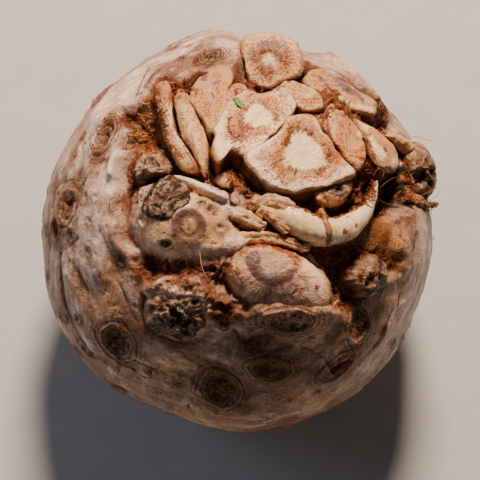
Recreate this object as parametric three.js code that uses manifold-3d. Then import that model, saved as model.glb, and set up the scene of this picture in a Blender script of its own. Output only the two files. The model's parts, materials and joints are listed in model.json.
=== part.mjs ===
// A celeriac root, standing on its trimmed leaf crown with its cut roots upwards. Millimetres, +Z up,
// origin on the resting face. The swollen body and every root stub grow as one piece, so they are one solid.
import * as THREE from "three";
import { mergeVertices } from "three/addons/utils/BufferGeometryUtils.js";
import Module from "manifold-3d";

const wasm = await Module();
wasm.setup();

// ---- driving dimensions -------------------------------------------------------------------------------

const HALF_WIDTH = 64; // along X
const HALF_DEPTH = 65.5; // along Y
const HALF_HEIGHT = 53; // along Z, before the crown is cut off
const CENTRE_HEIGHT = 49; // the cut takes the lowest 4 mm
const PLAN_SHIFT = { x: 0.1, y: -0.2 }; // brings the middle of the finished outline over the origin
const FACE_LEAN = THREE.MathUtils.degToRad(22); // the face plane's normal leans this far from +Z towards -Y

const BODY_CELLS = 22; // along each edge of the cube that is blown up into the body
const FINEST = 0.12; // detail under this is smoothed away
const CLOSE_UP = 0.7; // under 1 draws the body's faces together at the root end
const ROOT_FLOOR = 5.5; // how far the floor between the root stubs lies under the plain body
const FLOOR_EDGE = 7; // over this width the skin turns down to that floor

// The face plane: u to the right, v up the plane, w out of it. Root-end features are laid out on it.
const U = new THREE.Vector3(1, 0, 0);
const V = new THREE.Vector3(0, Math.cos(FACE_LEAN), Math.sin(FACE_LEAN));
const W = new THREE.Vector3(0, -Math.sin(FACE_LEAN), Math.cos(FACE_LEAN));
const HALF_AXES = new THREE.Vector3(HALF_WIDTH, HALF_DEPTH, HALF_HEIGHT);

// ---- layout of the root end, [u, v] in mm --------------------------------------------------------------

const FLOOR_OUTLINE = [
  [-35, 37], [-28, 43], [-17, 49], [-1, 47], [2, 56], [21, 56], [22, 51], [35, 44], [44, 40], [50, 34],
  [53, 23], [52, 8], [50, -12], [36, -25], [29, -21], [3, -23], [-8, -15], [-27, -14], [-35, -1], [-37, 16],
];

// Cut roots and lobes: outline, height of the top over the body, dome of the top, and how far the sides
// go down. A slope, where given, turns the cut face away from the body's own tangent plane.
const STUBS = [
  { outline: [[4.5, 24.5], [6, 20.5], [8.5, 16.5], [11.5, 13.5], [15.5, 11.5], [20, 10.5], [25, 11], [29.5, 13],
    [33, 15], [34.5, 17.5], [33.5, 20.5], [30.5, 25], [28, 29], [26, 32.5], [23, 35.5], [19.5, 36.5], [17, 35.5],
    [14.5, 33.5], [11.5, 30.5], [8.5, 28], [6, 26.5]], rise: 3, dome: 0.6, depth: 14 },
  { outline: [[3, 44], [5.5, 43.5], [8, 43.2], [10.5, 44], [13, 45.3], [15.5, 44], [17, 41.5], [17.5, 38.5],
    [16.3, 36.5], [14.5, 34.5], [12, 31.5], [9.5, 28.5], [6, 26], [3.5, 24.8], [1, 25], [-1, 26], [-2.5, 24.5],
    [-4.5, 22.5], [-6, 26], [-6.5, 30.5], [-5.5, 34], [-3.5, 37.5], [-2, 40], [0.5, 42]], rise: 2.2, dome: 0.6,
    depth: 13 },
  { outline: [[14, 45.5], [16, 47], [19, 47], [22, 46], [24.5, 45], [26.5, 43], [27, 41], [25.5, 39], [22.5, 38.5],
    [19.5, 39], [18, 40], [16, 41.5], [14.3, 43]], rise: 3, dome: 0.7, depth: 13 },
  { outline: [[-2, 45], [-0.5, 46], [2, 46], [3.5, 44], [3, 42], [1, 40.5], [-1.5, 40], [-3, 42]], rise: 2.6,
    dome: 0.5, depth: 13 },
  { outline: [[1.5, 58.5], [2, 54], [3, 50], [4.5, 47], [8, 45.3], [11, 45.3], [14.5, 46.8], [17.5, 49], [20, 52],
    [20.5, 55.5], [19.5, 59], [17.5, 61.5], [14.5, 63.3], [11, 64.3], [7, 64.3], [3.5, 63], [1.8, 61]], rise: 5,
    dome: 1, depth: 24, slope: [0, -0.45], flare: 0.1 },
  { outline: [[-14, 45.5], [-12.5, 48], [-10, 49.5], [-7.5, 51], [-5, 51.5], [-2.5, 51], [-1.5, 49], [-2, 46.5],
    [-3, 44.5], [-3, 42], [-3.5, 38.5], [-5, 35.5], [-6, 33], [-7.5, 31.5], [-9, 32], [-10, 34], [-11.5, 37],
    [-13, 40], [-14.5, 42.5]], rise: 2.2, dome: 1, depth: 13 },
  { outline: [[-19.5, 41], [-18.5, 42.8], [-16, 43], [-13.5, 40.5], [-12, 36], [-10, 31.5], [-9.2, 27.5],
    [-9.6, 23.5], [-10.5, 19.5], [-12.5, 22], [-14, 25.5], [-16.5, 28.5], [-17.5, 31.5], [-18.5, 35.5]],
    rise: -0.5, dome: 3.2, depth: 10 },
  { outline: [[-24, 35], [-25, 39], [-23.5, 41.5], [-21.5, 40], [-20.5, 36.5], [-19, 31.5], [-17.5, 28],
    [-15, 24.5], [-13, 22], [-13.5, 20.8], [-16.5, 20.6], [-19, 22.5], [-21, 26], [-22.7, 29.5]], rise: -1.2,
    dome: 3, depth: 10 },
  { outline: [[-32, 21.5], [-30, 24], [-27, 25], [-24, 24], [-22, 22], [-21, 19], [-23, 17], [-26, 16.5],
    [-29.5, 16], [-32, 16.5], [-32.8, 19]], rise: -3.5, dome: 3, depth: 10 },
  { outline: [[-26.5, 9], [-26, 12.5], [-23.5, 15], [-21, 17], [-18.5, 15.5], [-16.5, 13], [-15.5, 10],
    [-16.5, 7.5], [-19, 6], [-22, 4.5], [-24, 4.5], [-26.5, 6], [-27.5, 7.5]], rise: 4.5, dome: 0.6, depth: 8 },
  { outline: [[-7.5, 16], [-6, 18.5], [-4, 19.5], [-2, 18.5], [-0.5, 16], [-1, 13.5], [-2.5, 11.5], [-4.5, 12],
    [-6, 13.5]], rise: -3, dome: 2.6, depth: 10 },
  { outline: [[2, 7.5], [3, 10], [5, 12], [7.5, 12], [9, 10.5], [9.5, 8], [7.5, 6.5], [5.5, 6], [3, 6]],
    rise: -2, dome: 2.4, depth: 10 },
  { outline: [[25, 12.5], [26, 14.5], [29.5, 15.8], [33, 16], [35.5, 14], [35, 11.5], [33.5, 9], [31, 7.5],
    [28.5, 8], [26, 10]], rise: -0.5, dome: 1.8, depth: 11 },
  { outline: [[28.5, 42.5], [30.5, 43], [32, 41], [33.5, 38], [35.5, 35.5], [38, 32], [39.5, 28.5], [40.5, 24.5],
    [39.5, 22], [37.5, 21], [35, 22.5], [33, 25], [31, 27.5], [29.5, 31], [29, 35], [28.5, 39]], rise: 1.6,
    dome: 1.2, depth: 12 },
  { outline: [[24, 37], [26, 36.5], [28.3, 35], [29.2, 33], [28.7, 31], [27.5, 31.5], [25.5, 33.5], [24, 35.5]],
    rise: 0.4, dome: 1, depth: 10 },
  { outline: [[37.5, 36], [39.5, 35.3], [42.5, 34], [45.5, 31.8], [48, 29.5], [50.5, 27], [51.5, 24], [51.3, 21],
    [49, 19.2], [46, 19.6], [44, 22.3], [42, 26], [40.5, 29.5], [38.5, 33]], rise: 2.4, dome: 2.6, depth: 12 },
  { outline: [[31, 45], [30.5, 48], [33, 48.5], [36.5, 47], [39.5, 45], [43, 43], [45.5, 41.2], [44.5, 38.7],
    [41, 38.3], [38, 39.3], [34.5, 41], [32, 42.8]], rise: 1.4, dome: 2, depth: 12 },
  { outline: [[22, 48], [23, 50.5], [25.5, 52], [28, 51.6], [30, 50], [31.5, 47.5], [31, 45], [29, 43.8],
    [26.5, 44.3], [24, 45.7]], rise: 2, dome: 1.2, depth: 12 },
  { outline: [[-2, -11], [0.5, -7], [2, -5], [4, -3.5], [7.5, -3.2], [11.5, -3.8], [16, -5.2], [20, -7.2],
    [23.5, -9.8], [26.5, -12.5], [28, -16], [28.2, -19.5], [26.5, -22], [23, -23.5], [18.5, -24], [13, -23.5],
    [7.5, -22], [4, -20.5], [1.5, -17.5], [-0.5, -14.5]], rise: 1.5, dome: 5, depth: 13 },
  { outline: [[36, -13.5], [37.5, -10.5], [40, -8.5], [43.5, -8], [46.5, -9.5], [48, -13], [48, -16], [46, -18.5],
    [42.5, -20], [39.5, -20], [36.5, -18], [35.5, -15.5]], rise: -2, dome: 4, depth: 11 },
  { outline: [[-27.5, -24], [-26.5, -20.5], [-24.5, -18.5], [-21, -17.5], [-17, -17], [-13, -17.5], [-10.5, -19.5],
    [-9, -22], [-9, -25.5], [-10, -29], [-12.5, -31.5], [-16.5, -33], [-20, -32.5], [-23.5, -31], [-26.5, -28.5]],
    rise: 3.5, dome: 2.4, depth: 13 },
];

// Curled and creeping roots: [u, v, lift of the middle over the body, radius] along each.
const RUNNERS = [
  [[12.5, 8.5, -1.5, 3.6], [18, 4.5, -0.8, 4.6], [23, 1.2, -0.3, 4.9], [28.5, 0, -0.3, 4.5], [34, 1, -0.3, 4.1],
    [38.5, 4.5, -0.4, 3.5], [41, 9, -0.8, 2.6], [41.5, 14, -1.4, 1.6]],
  [[10, 7, -1.5, 1.8], [7.5, 6, -0.6, 2], [7.5, 4, -0.4, 2], [9.5, 2.5, -0.4, 2], [12, 1.5, -0.6, 1.9],
    [15.5, -0.4, -1.2, 1.2]],
  [[-1.5, 5, -2, 1.6], [1, 3.5, -1, 2.1], [4, 2, -0.6, 2.1], [8, 0.8, -0.5, 1.7]],
  [[-7, -5, -1.5, 2.2], [-1.5, -4.5, -0.8, 2.5], [4, -3, -1.5, 2.6], [10, -3.3, -2, 2.5], [16, -4.2, -1, 1.9],
    [22, -4.6, -0.5, 1.5]],
  [[-18, 17, -0.5, 2.2], [-14, 16, 0.5, 2.6], [-10, 13.5, 0.4, 2.5], [-6, 11.5, 0, 2.2], [-2, 9.6, -1, 1.7]],
  [[-24, -5.5, 0.5, 3], [-16, -6, 1.5, 3.8], [-8, -6, 0.8, 3.4], [-0.5, -4.5, -1.5, 2.4]],
  [[-36.5, 20, -2.6, 2], [-35.5, 24.5, -2, 2.4], [-32.5, 27, -1.8, 2.4], [-27.5, 28, -2.2, 2.2],
    [-24.5, 26.5, -3, 1.7]],
  [[-24, -17, 0, 1.5], [-20.5, -15.5, 0.4, 1.8], [-16, -14.8, 0.4, 1.8], [-12, -15.8, 0.2, 1.7], [-9.5, -17.5, -0.5, 1.4]],
  [[45.5, 30.5, -0.5, 1.8], [49, 29, 1, 2.1], [51.5, 27.5, 1.8, 2.3], [53, 25.5, 1.8, 2.2]],
  [[46, 22, -6, 4.6], [51, 24.5, -1.5, 5.2], [55, 22, 0.6, 5.4], [56.5, 17.5, 1.4, 5], [56, 14, 0.8, 4]],
];

// Swellings (or hollows, where the rise is negative) of the body: middle, radii along and across, turn in
// degrees, rise.
const SWELLS = [
  [-18, 4, 19, 12, -6, 9], // big lobe on the left
  [-18, -25, 12, 10, 0, 2.5], // mound under the near left knob
  [13, -15, 19, 13, -15, 6], // mound under the near cut root
  [46, 1, 6, 11, 8, 5], // corky lobe on the right
  [-4, 57, 10, 7, -15, 3.5], // pale fold behind the wedge
  [33, 55, 16, 5, -38, 2.5], // skin fold on the far right
  [-42, 20, 8, 20, -14, 1.5], // pale skin ridge on the left
  [57, -4, 6, 18, -12, 1.6], // skin fold on the right flank
  [-28, -54, 26, 12, 25, -1.5], // flatter near left flank
  [14, -58, 24, 7, 0, 1.2],
  [-29, 30.5, 5.5, 5, 0, -3.5], // fibre pocket
  [47.5, 13, 5.2, 6.6, 0, -11], // deep hole on the right
  [49.5, 33.5, 2.6, 4, 35, -5], // hole at the far right
  [5.5, -33, 10, 4.5, 0, -2.4], // hollow under the near cut root
];

// Creases in the body: [u, v] along each, then half width and depth.
const CREASES = [
  { along: [[-52, 8], [-50, 20], [-46, 30], [-38, 43], [-27, 52], [-12, 58]], half: 1.8, depth: 1.2 },
  { along: [[-56, -8], [-54, -22], [-47, -36], [-38, -44]], half: 1.6, depth: 1.2 },
  { along: [[-46, -14], [-43, -24], [-38, -29]], half: 1.5, depth: 1 },
  { along: [[3, 60], [2.5, 52], [0, 48]], half: 1.6, depth: 2.5 },
  { along: [[53, -14], [50, -30], [42, -42]], half: 1.6, depth: 1.2 },
  { along: [[-35, -44], [-22, -51], [-6, -56]], half: 1.5, depth: 1 },
];

// Rootlet scars on the skin: [u, v, radius along, radius across, turn in degrees].
const SCARS = [
  [-41.5, 30, 4.6, 6.2, -18], [-45.5, 46, 4.5, 3, 45], [-53.5, 8, 5.6, 5.8, 0], [-58, 1, 4.5, 4, 0],
  [-37, -34.5, 6, 6.2, 0], [-5.5, -49.5, 6.8, 8, 0], [10, -42, 7, 5.6, 0], [16.5, -27.5, 6, 3.4, -6],
  [38, -29, 4.2, 5.6, -14], [32, -42, 6, 4, 20],
];
// More of them round the sides that the face plane doesn't reach: how many, and their sizes.
const REAR_SCARS = { count: 15, smallest: 3.2, largest: 6.2 };

// Long slow waves that keep the body from being a plain ellipsoid: wave vector per mm, phase, height.
const WAVES = [
  [0.062, 0.031, 0.045, 0.3, 0.6], [-0.041, 0.075, 0.02, 1.7, 0.5], [0.09, -0.05, 0.07, 4.0, 0.4],
  [0.02, 0.11, -0.08, 2.2, 0.35], [0.13, 0.04, 0.1, 5.1, 0.3], [-0.07, 0.12, 0.14, 0.9, 0.3],
];

// Leaf-base collars round the crown.
const COLLARS = { reach: 12, spacing: 6.2, height: 1.3, leaves: 9 };

// ---- small mathematics ---------------------------------------------------------------------------------

const smooth = (x) => {
  const t = Math.min(1, Math.max(0, x));
  return t * t * (3 - 2 * t);
};

// Local coordinates of (x, y) in an ellipse that is turned by some degrees, in units of its radii.
function inEllipse(x, y, alongRadius, acrossRadius, degrees) {
  const turn = THREE.MathUtils.degToRad(degrees);
  const a = (x * Math.cos(turn) + y * Math.sin(turn)) / alongRadius;
  const b = (y * Math.cos(turn) - x * Math.sin(turn)) / acrossRadius;
  return Math.hypot(a, b);
}

function distanceToLine(x, y, points, closed) {
  let best = Infinity;
  const last = closed ? points.length : points.length - 1;
  for (let i = 0; i < last; i++) {
    const [ax, ay] = points[i];
    const [bx, by] = points[(i + 1) % points.length];
    const along = ((x - ax) * (bx - ax) + (y - ay) * (by - ay)) / ((bx - ax) ** 2 + (by - ay) ** 2);
    const t = Math.min(1, Math.max(0, along));
    best = Math.min(best, Math.hypot(x - ax - t * (bx - ax), y - ay - t * (by - ay)));
  }
  return best;
}

function isInside(x, y, points) {
  let inside = false;
  points.forEach(([ax, ay], i) => {
    const [bx, by] = points[(i + 1) % points.length];
    if (ay > y !== by > y && x < ax + ((y - ay) * (bx - ax)) / (by - ay)) inside = !inside;
  });
  return inside;
}

const turnsLeft = (points) =>
  points.reduce((sum, [ax, ay], i) => {
    const [bx, by] = points[(i + 1) % points.length];
    return sum + ax * by - bx * ay;
  }, 0) > 0;

// ---- the plain body ------------------------------------------------------------------------------------

// The plain ellipsoid's front over (u, v) on the face plane: its point and outward normal, from its middle.
// Past the rim the place is drawn in to the rim.
function plainFront(u, v) {
  const inward = new THREE.Vector3().copy(W).negate().divide(HALF_AXES);
  let start;
  let middle;
  for (let draw = 1; ; draw *= 0.98) {
    const place = U.clone().multiplyScalar(u * draw).addScaledVector(V, v * draw);
    start = place.divide(HALF_AXES);
    middle = -start.dot(inward) / inward.lengthSq();
    const nearest = start.clone().addScaledVector(inward, middle);
    if (nearest.lengthSq() < 0.97) {
      const back = Math.sqrt((1 - nearest.lengthSq()) / inward.lengthSq());
      const unit = start.clone().addScaledVector(inward, middle - back);
      return {
        point: unit.clone().multiply(HALF_AXES),
        normal: unit.clone().divide(HALF_AXES).normalize(),
      };
    }
  }
}

// ---- relief of the body --------------------------------------------------------------------------------

const frontScars = SCARS.map(([u, v, along, across, turn]) => ({ ...plainFront(u, v), along, across, turn }));

// A golden-angle spiral of scars over the rear and the flanks, left out where the front has its own.
const rearScars = Array.from({ length: REAR_SCARS.count * 2 }, (_, i) => {
  const height = 0.62 - 1.2 * ((i + 0.5) / (REAR_SCARS.count * 2));
  const round = i * Math.PI * (3 - Math.sqrt(5));
  const flat = Math.sqrt(1 - height * height);
  const unit = new THREE.Vector3(flat * Math.cos(round), flat * Math.sin(round), height);
  const share = 0.5 + 0.5 * Math.sin(i * 2.4);
  const along = THREE.MathUtils.lerp(REAR_SCARS.smallest, REAR_SCARS.largest, share);
  return {
    point: unit.clone().multiply(HALF_AXES),
    normal: unit.clone().divide(HALF_AXES).normalize(),
    along,
    across: along * (0.6 + 0.3 * Math.cos(i * 1.7)),
    turn: 40 * Math.sin(i * 3.1),
  };
}).filter((scar) => scar.normal.dot(W) < 0.12);

// A scar is a raised ring round a sunken middle.
function scarRelief(place) {
  let relief = 0;
  for (const scar of [...frontScars, ...rearScars]) {
    const away = place.clone().sub(scar.point);
    const reach = 1.8 * Math.max(scar.along, scar.across);
    if (away.lengthSq() > reach * reach) continue;
    const right = U.clone().addScaledVector(scar.normal, -U.dot(scar.normal)).normalize();
    const up = scar.normal.clone().cross(right);
    const r = inEllipse(away.dot(right), away.dot(up), scar.along, scar.across, scar.turn);
    relief += 1.1 * Math.exp(-(((r - 1) / 0.3) ** 2)) - 1.4 * smooth((0.95 - r) / 0.5);
  }
  return relief;
}

function waveRelief(place) {
  return WAVES.reduce(
    (sum, [kx, ky, kz, phase, height]) => sum + height * Math.sin(kx * place.x + ky * place.y + kz * place.z + phase),
    0,
  );
}

function collarRelief(place) {
  const above = place.z + CENTRE_HEIGHT;
  const round = Math.atan2(place.y, place.x);
  const ring = Math.cos((2 * Math.PI * above) / COLLARS.spacing + 0.9 * Math.sin(COLLARS.leaves * round));
  return COLLARS.height * Math.exp(-Math.max(0, above) / COLLARS.reach) * ring;
}

// How far the body's surface stands out of the plain ellipsoid at a place on it.
function relief(place, normal) {
  let out = waveRelief(place) + collarRelief(place) + scarRelief(place);
  const facing = smooth((normal.dot(W) + 0.05) / 0.2);
  if (facing > 0) {
    const u = place.dot(U);
    const v = place.dot(V);
    const edge = distanceToLine(u, v, FLOOR_OUTLINE, true) * (isInside(u, v, FLOOR_OUTLINE) ? 1 : -1);
    let front = -ROOT_FLOOR * smooth(0.5 + edge / FLOOR_EDGE);
    for (const [su, sv, along, across, turn, rise] of SWELLS) {
      front += rise * Math.exp(-(inEllipse(u - su, v - sv, along, across, turn) ** 2.6));
    }
    for (const { along, half, depth } of CREASES) {
      front -= depth * Math.exp(-((distanceToLine(u, v, along, false) / half) ** 2));
    }
    out += facing * front;
  }
  return out;
}

// ---- closed surfaces -----------------------------------------------------------------------------------

// A geometry whose vertices have been put in their places, as a manifold-3d solid.
function solid(geometry) {
  geometry.deleteAttribute("normal");
  geometry.deleteAttribute("uv");
  const merged = mergeVertices(geometry, 1e-4);
  return new wasm.Manifold(
    new wasm.Mesh({
      numProp: 3,
      vertProperties: merged.attributes.position.array,
      triVerts: new Uint32Array(merged.index.array),
    }),
  );
}

// A cube blown up into a ball, slid towards the root end, stretched and given its relief.
function body() {
  const cube = new THREE.BoxGeometry(2, 2, 2, BODY_CELLS, BODY_CELLS, BODY_CELLS);
  const position = cube.attributes.position;
  const corner = new THREE.Vector3();
  for (let i = 0; i < position.count; i++) {
    corner.fromBufferAttribute(position, i);
    const even = corner.toArray().map((x) => Math.tan((x * Math.PI) / 4));
    const [a, b, c] = new THREE.Vector3(...even).normalize().toArray();
    const whole = 1 + c + CLOSE_UP * CLOSE_UP * (1 - c);
    const side = (2 * CLOSE_UP) / whole;
    const ahead = (1 + c - CLOSE_UP * CLOSE_UP * (1 - c)) / whole;
    const unit = new THREE.Vector3()
      .addScaledVector(U, a * side)
      .addScaledVector(V, b * side)
      .addScaledVector(W, ahead);
    const place = unit.clone().multiply(HALF_AXES);
    const normal = unit.clone().divide(HALF_AXES).normalize();
    place.addScaledVector(normal, relief(place, normal));
    position.setXYZ(i, place.x, place.y, place.z);
  }
  return solid(cube);
}

// A profile of [share of the outline's radius, share of the depth] carried round a closed outline.
const STUB_PROFILE = [[0, 0], [0.5, 0], [0.86, 0], [1, 0.1], [1, 0.45], [1, 1], [0.5, 1], [0, 1]];
const STUB_SIDES = 16;

function stub({ outline, rise, dome, depth, slope, flare = 0.06 }) {
  const points = turnsLeft(outline) ? outline : [...outline].reverse();
  const curve = new THREE.CatmullRomCurve3(
    points.map(([u, v]) => new THREE.Vector3(u, v, 0)), true, "catmullrom", 0.5);
  const middle = new THREE.Vector2(
    points.reduce((sum, p) => sum + p[0], 0) / points.length,
    points.reduce((sum, p) => sum + p[1], 0) / points.length,
  );
  const front = plainFront(middle.x, middle.y);
  const across = slope ?? [-front.normal.dot(U) / front.normal.dot(W), -front.normal.dot(V) / front.normal.dot(W)];
  const axis = W.clone().addScaledVector(U, -across[0]).addScaledVector(V, -across[1]).normalize();
  const sheet = new THREE.SphereGeometry(1, STUB_SIDES, STUB_PROFILE.length - 1);
  const { position, uv } = sheet.attributes;
  for (let i = 0; i < position.count; i++) {
    const round = ((uv.getX(i) % 1) + 1) % 1;
    const ring = Math.round((1 - uv.getY(i)) * (STUB_PROFILE.length - 1));
    const [share, down] = STUB_PROFILE[ring];
    const rim = curve.getPoint(round);
    const reach = share * (1 + flare * down);
    const du = (rim.x - middle.x) * reach;
    const dv = (rim.y - middle.y) * reach;
    const place = front.point.clone()
      .addScaledVector(U, du)
      .addScaledVector(V, dv)
      .addScaledVector(W, du * across[0] + dv * across[1] + rise + dome * (1 - share ** 2))
      .addScaledVector(axis, -depth * down);
    position.setXYZ(i, place.x, place.y, place.z);
  }
  return solid(sheet);
}

// A section that is round above and drawn out below into a keel, carried along a curve, with round ends.
const RUNNER_SIDES = 8;
const RUNNER_RINGS = 10;
const KEEL = 2.8;

function runner(route) {
  const fronts = route.map(([u, v]) => plainFront(u, v));
  const path = new THREE.CatmullRomCurve3(
    route.map(([, , lift], i) => fronts[i].point.clone().addScaledVector(fronts[i].normal, lift)));
  const length = path.getLength();
  const sheet = new THREE.SphereGeometry(1, RUNNER_SIDES, RUNNER_RINGS);
  const { position, uv } = sheet.attributes;
  for (let i = 0; i < position.count; i++) {
    const round = 2 * Math.PI * uv.getX(i);
    const t = 0.5 - 0.5 * Math.cos(Math.PI * (1 - uv.getY(i)));
    const slot = Math.min(route.length - 2, Math.floor(t * (route.length - 1)));
    const within = t * (route.length - 1) - slot;
    const radius = THREE.MathUtils.lerp(route[slot][3], route[slot + 1][3], within);
    const toEnd = Math.min(1, (Math.min(t, 1 - t) * length) / radius);
    const section = radius * Math.sqrt(1 - (1 - toEnd) ** 2);
    const tangent = path.getTangent(t);
    const side = tangent.clone().cross(fronts[slot].normal).normalize();
    const up = side.clone().cross(tangent);
    const place = path.getPoint(t)
      .addScaledVector(side, section * Math.cos(round))
      .addScaledVector(up, section * Math.sin(round) * (Math.sin(round) < 0 ? KEEL : 1));
    position.setXYZ(i, place.x, place.y, place.z);
  }
  return solid(sheet);
}

// ---- the root as one solid -----------------------------------------------------------------------------

function root() {
  const grown = [...STUBS.map(stub), ...RUNNERS.map(runner)].reduce((whole, piece) => whole.add(piece), body());
  const standing = grown.translate([PLAN_SHIFT.x, PLAN_SHIFT.y, CENTRE_HEIGHT]);
  const room = new THREE.BoxGeometry(400, 400, 200).translate(0, 0, 100);
  const cut = standing.intersect(solid(room)).asOriginal().simplify(FINEST);
  // A hollow sealed between stubs comes apart as a body of its own, and only the outside is kept.
  const outside = cut.decompose().sort((a, b) => b.volume() - a.volume())[0];
  const mesh = outside.getMesh();
  const geometry = new THREE.BufferGeometry();
  geometry.setAttribute("position", new THREE.BufferAttribute(mesh.vertProperties, 3));
  geometry.setIndex(new THREE.BufferAttribute(mesh.triVerts, 1));
  geometry.computeVertexNormals();
  return geometry;
}

const skin = new THREE.MeshStandardMaterial({ color: 0xd2b69a, roughness: 0.62, metalness: 0 });
const celeriac = new THREE.Mesh(root(), skin);
celeriac.name = "celeriac_root";

const part = new THREE.Group();
part.add(celeriac);

export default part;
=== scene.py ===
"""A celeriac root, standing on its trimmed leaf crown with the cut roots upwards, in a small studio."""

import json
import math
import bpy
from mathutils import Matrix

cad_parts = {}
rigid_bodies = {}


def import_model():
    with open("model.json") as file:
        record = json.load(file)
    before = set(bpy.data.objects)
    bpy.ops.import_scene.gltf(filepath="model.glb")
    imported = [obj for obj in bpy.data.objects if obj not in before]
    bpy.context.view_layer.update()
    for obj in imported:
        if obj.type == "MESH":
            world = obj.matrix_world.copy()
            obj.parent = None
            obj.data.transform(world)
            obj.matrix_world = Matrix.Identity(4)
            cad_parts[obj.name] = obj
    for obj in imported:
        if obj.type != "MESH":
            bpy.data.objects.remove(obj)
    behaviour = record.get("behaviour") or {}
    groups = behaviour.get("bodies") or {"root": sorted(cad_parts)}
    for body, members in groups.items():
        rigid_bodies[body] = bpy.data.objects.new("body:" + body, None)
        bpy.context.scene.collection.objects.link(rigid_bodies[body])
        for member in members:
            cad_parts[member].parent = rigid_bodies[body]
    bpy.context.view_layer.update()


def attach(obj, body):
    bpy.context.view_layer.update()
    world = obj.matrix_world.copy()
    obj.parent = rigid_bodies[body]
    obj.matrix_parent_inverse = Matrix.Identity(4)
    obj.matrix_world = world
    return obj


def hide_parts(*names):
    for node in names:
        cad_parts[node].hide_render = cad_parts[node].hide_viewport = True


bl_info = {
    "name": "Celeriac Root",
    "version": (1, 0, 0),
    "blender": (4, 5, 0),
    "location": "View3D > Sidebar > Celeriac",
    "description": "Builds a trimmed celeriac with cut roots, woody knobs, fibres and skin, and a studio",
    "category": "Add Mesh",
}

import bpy
import numpy as np
from bpy.props import FloatProperty, FloatVectorProperty, IntProperty, PointerProperty
from mathutils import Vector

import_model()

BODY = "root"
NODE = "celeriac_root"
MM = 0.001

# ---- layout, in millimetres ----

# The root end faces along W, which leans 22 degrees from upright towards -Y. Its face plane has u to the
# right and v up the plane. Everything is laid out from the middle of the plain body, an ellipsoid, and is
# moved to its height over the floor when it is made.
LEAN = math.radians(22)
U = np.array([1.0, 0.0, 0.0])
V = np.array([0.0, math.cos(LEAN), math.sin(LEAN)])
W = np.array([0.0, -math.sin(LEAN), math.cos(LEAN)])
PLAN_SHIFT = (0.1, -0.2)

# The sunken floor between the roots, how deep it lies, and how far its edge slopes.
FLOOR_OUTLINE = [
    (-35, 37), (-28, 43), (-17, 49), (-1, 47), (2, 56), (21, 56), (22, 51), (35, 44), (44, 40), (50, 34),
    (53, 23), (52, 8), (50, -12), (36, -25), (29, -21), (3, -23), (-8, -15), (-27, -14), (-35, -1),
    (-37, 16),
]
FLOOR_DEPTH = 5.5
FLOOR_EDGE = 5.0

# Long waves of the plain body: how fast each runs along X, Y and Z, in radians per mm, phase, height in mm.
WAVES = [
    (0.062, 0.031, 0.045, 0.3, 0.6), (-0.041, 0.075, 0.02, 1.7, 0.5), (0.09, -0.05, 0.07, 4.0, 0.4),
    (0.02, 0.11, -0.08, 2.2, 0.35), (0.13, 0.04, 0.1, 5.1, 0.3), (-0.07, 0.12, 0.14, 0.9, 0.3),
]
COLLAR_SPACING = 6.2  # from one leaf-base collar to the next, going up from the crown

# Swellings and hollows of the body: u, v, radius along, radius across, turn in degrees, rise.
SWELLS = [
    (-18, 4, 19, 12.5, -6, 9),  # big lobe on the left
    (-18, -25, 12, 10, 0, 2.5),  # mound under the near left knob
    (13, -15, 19, 13, -15, 6),  # mound under the near cut root
    (46.4, -0.5, 6.6, 12, 8, 5.2),  # corky lobe on the right
    (-4, 57, 10, 7, -15, 3.5),  # pale fold behind the wedge
    (33, 55, 16, 5, -38, 2.5),  # skin fold on the far right
    (-42, 20, 8, 20, -14, 1.5),  # pale ridge on the left
    (57, -4, 6, 18, -12, 1.6),  # fold on the right flank
    (-28, -54, 26, 12, 25, -1.5),  # flatter near left flank
    (14, -58, 24, 7, 0, 1.2),
    (-29, 30.5, 5.5, 5, 0, -3.5),  # fibre pocket
    (47.8, 12.3, 5, 6.2, 0, -16),  # deep hole on the right
    (49.5, 33.5, 2.8, 4.4, 35, -7),  # hole at the far right
    (5.5, -33, 10, 4.5, 0, -2.4),  # hollow under the near cut root
    (-30, 15, 4, 4, 0, 1.6),
    (30, -21.5, 4.5, 3, 20, 2.2),
    (-21, 51, 9, 3, 28, 1),
    (42, -20, 7, 6, 0, -1),
    (-1, 9.5, 2.2, 3, 0, -2.5),
    (-36, 8, 3, 5, 0, -0.8),
]

# Matted fibre and broken skin that fills the gaps between the cut roots, set out in the same way.
FILLS = [
    (2, 41, 13, 8, 0, 5), (26, 43, 9, 6, -20, 5.2), (32, 33, 8, 12, 30, 6.2), (-12, 34, 9, 13, 10, 4.2),
    (41, 38, 6, 5, -35, 3.4), (8, 53, 11, 6, 0, 3), (0, 13, 7, 6, 0, 2.8), (22, 9.5, 15, 3.8, 0, 3.6),
    (37, 15.5, 6, 6, 0, 4.2), (34, -4, 6, 5, 0, 2.2), (-6, -22, 5, 5, 0, 2.4), (9, 3, 10, 4, -20, 1.6),
    (-12, -12, 17, 3.6, 4, 3), (-18, -17.6, 10, 2.4, 0, 2.2), (17, -23.5, 13, 3.6, -6, 2.6),
    (44, 26, 4, 9, 30, 2.4),
]

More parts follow.
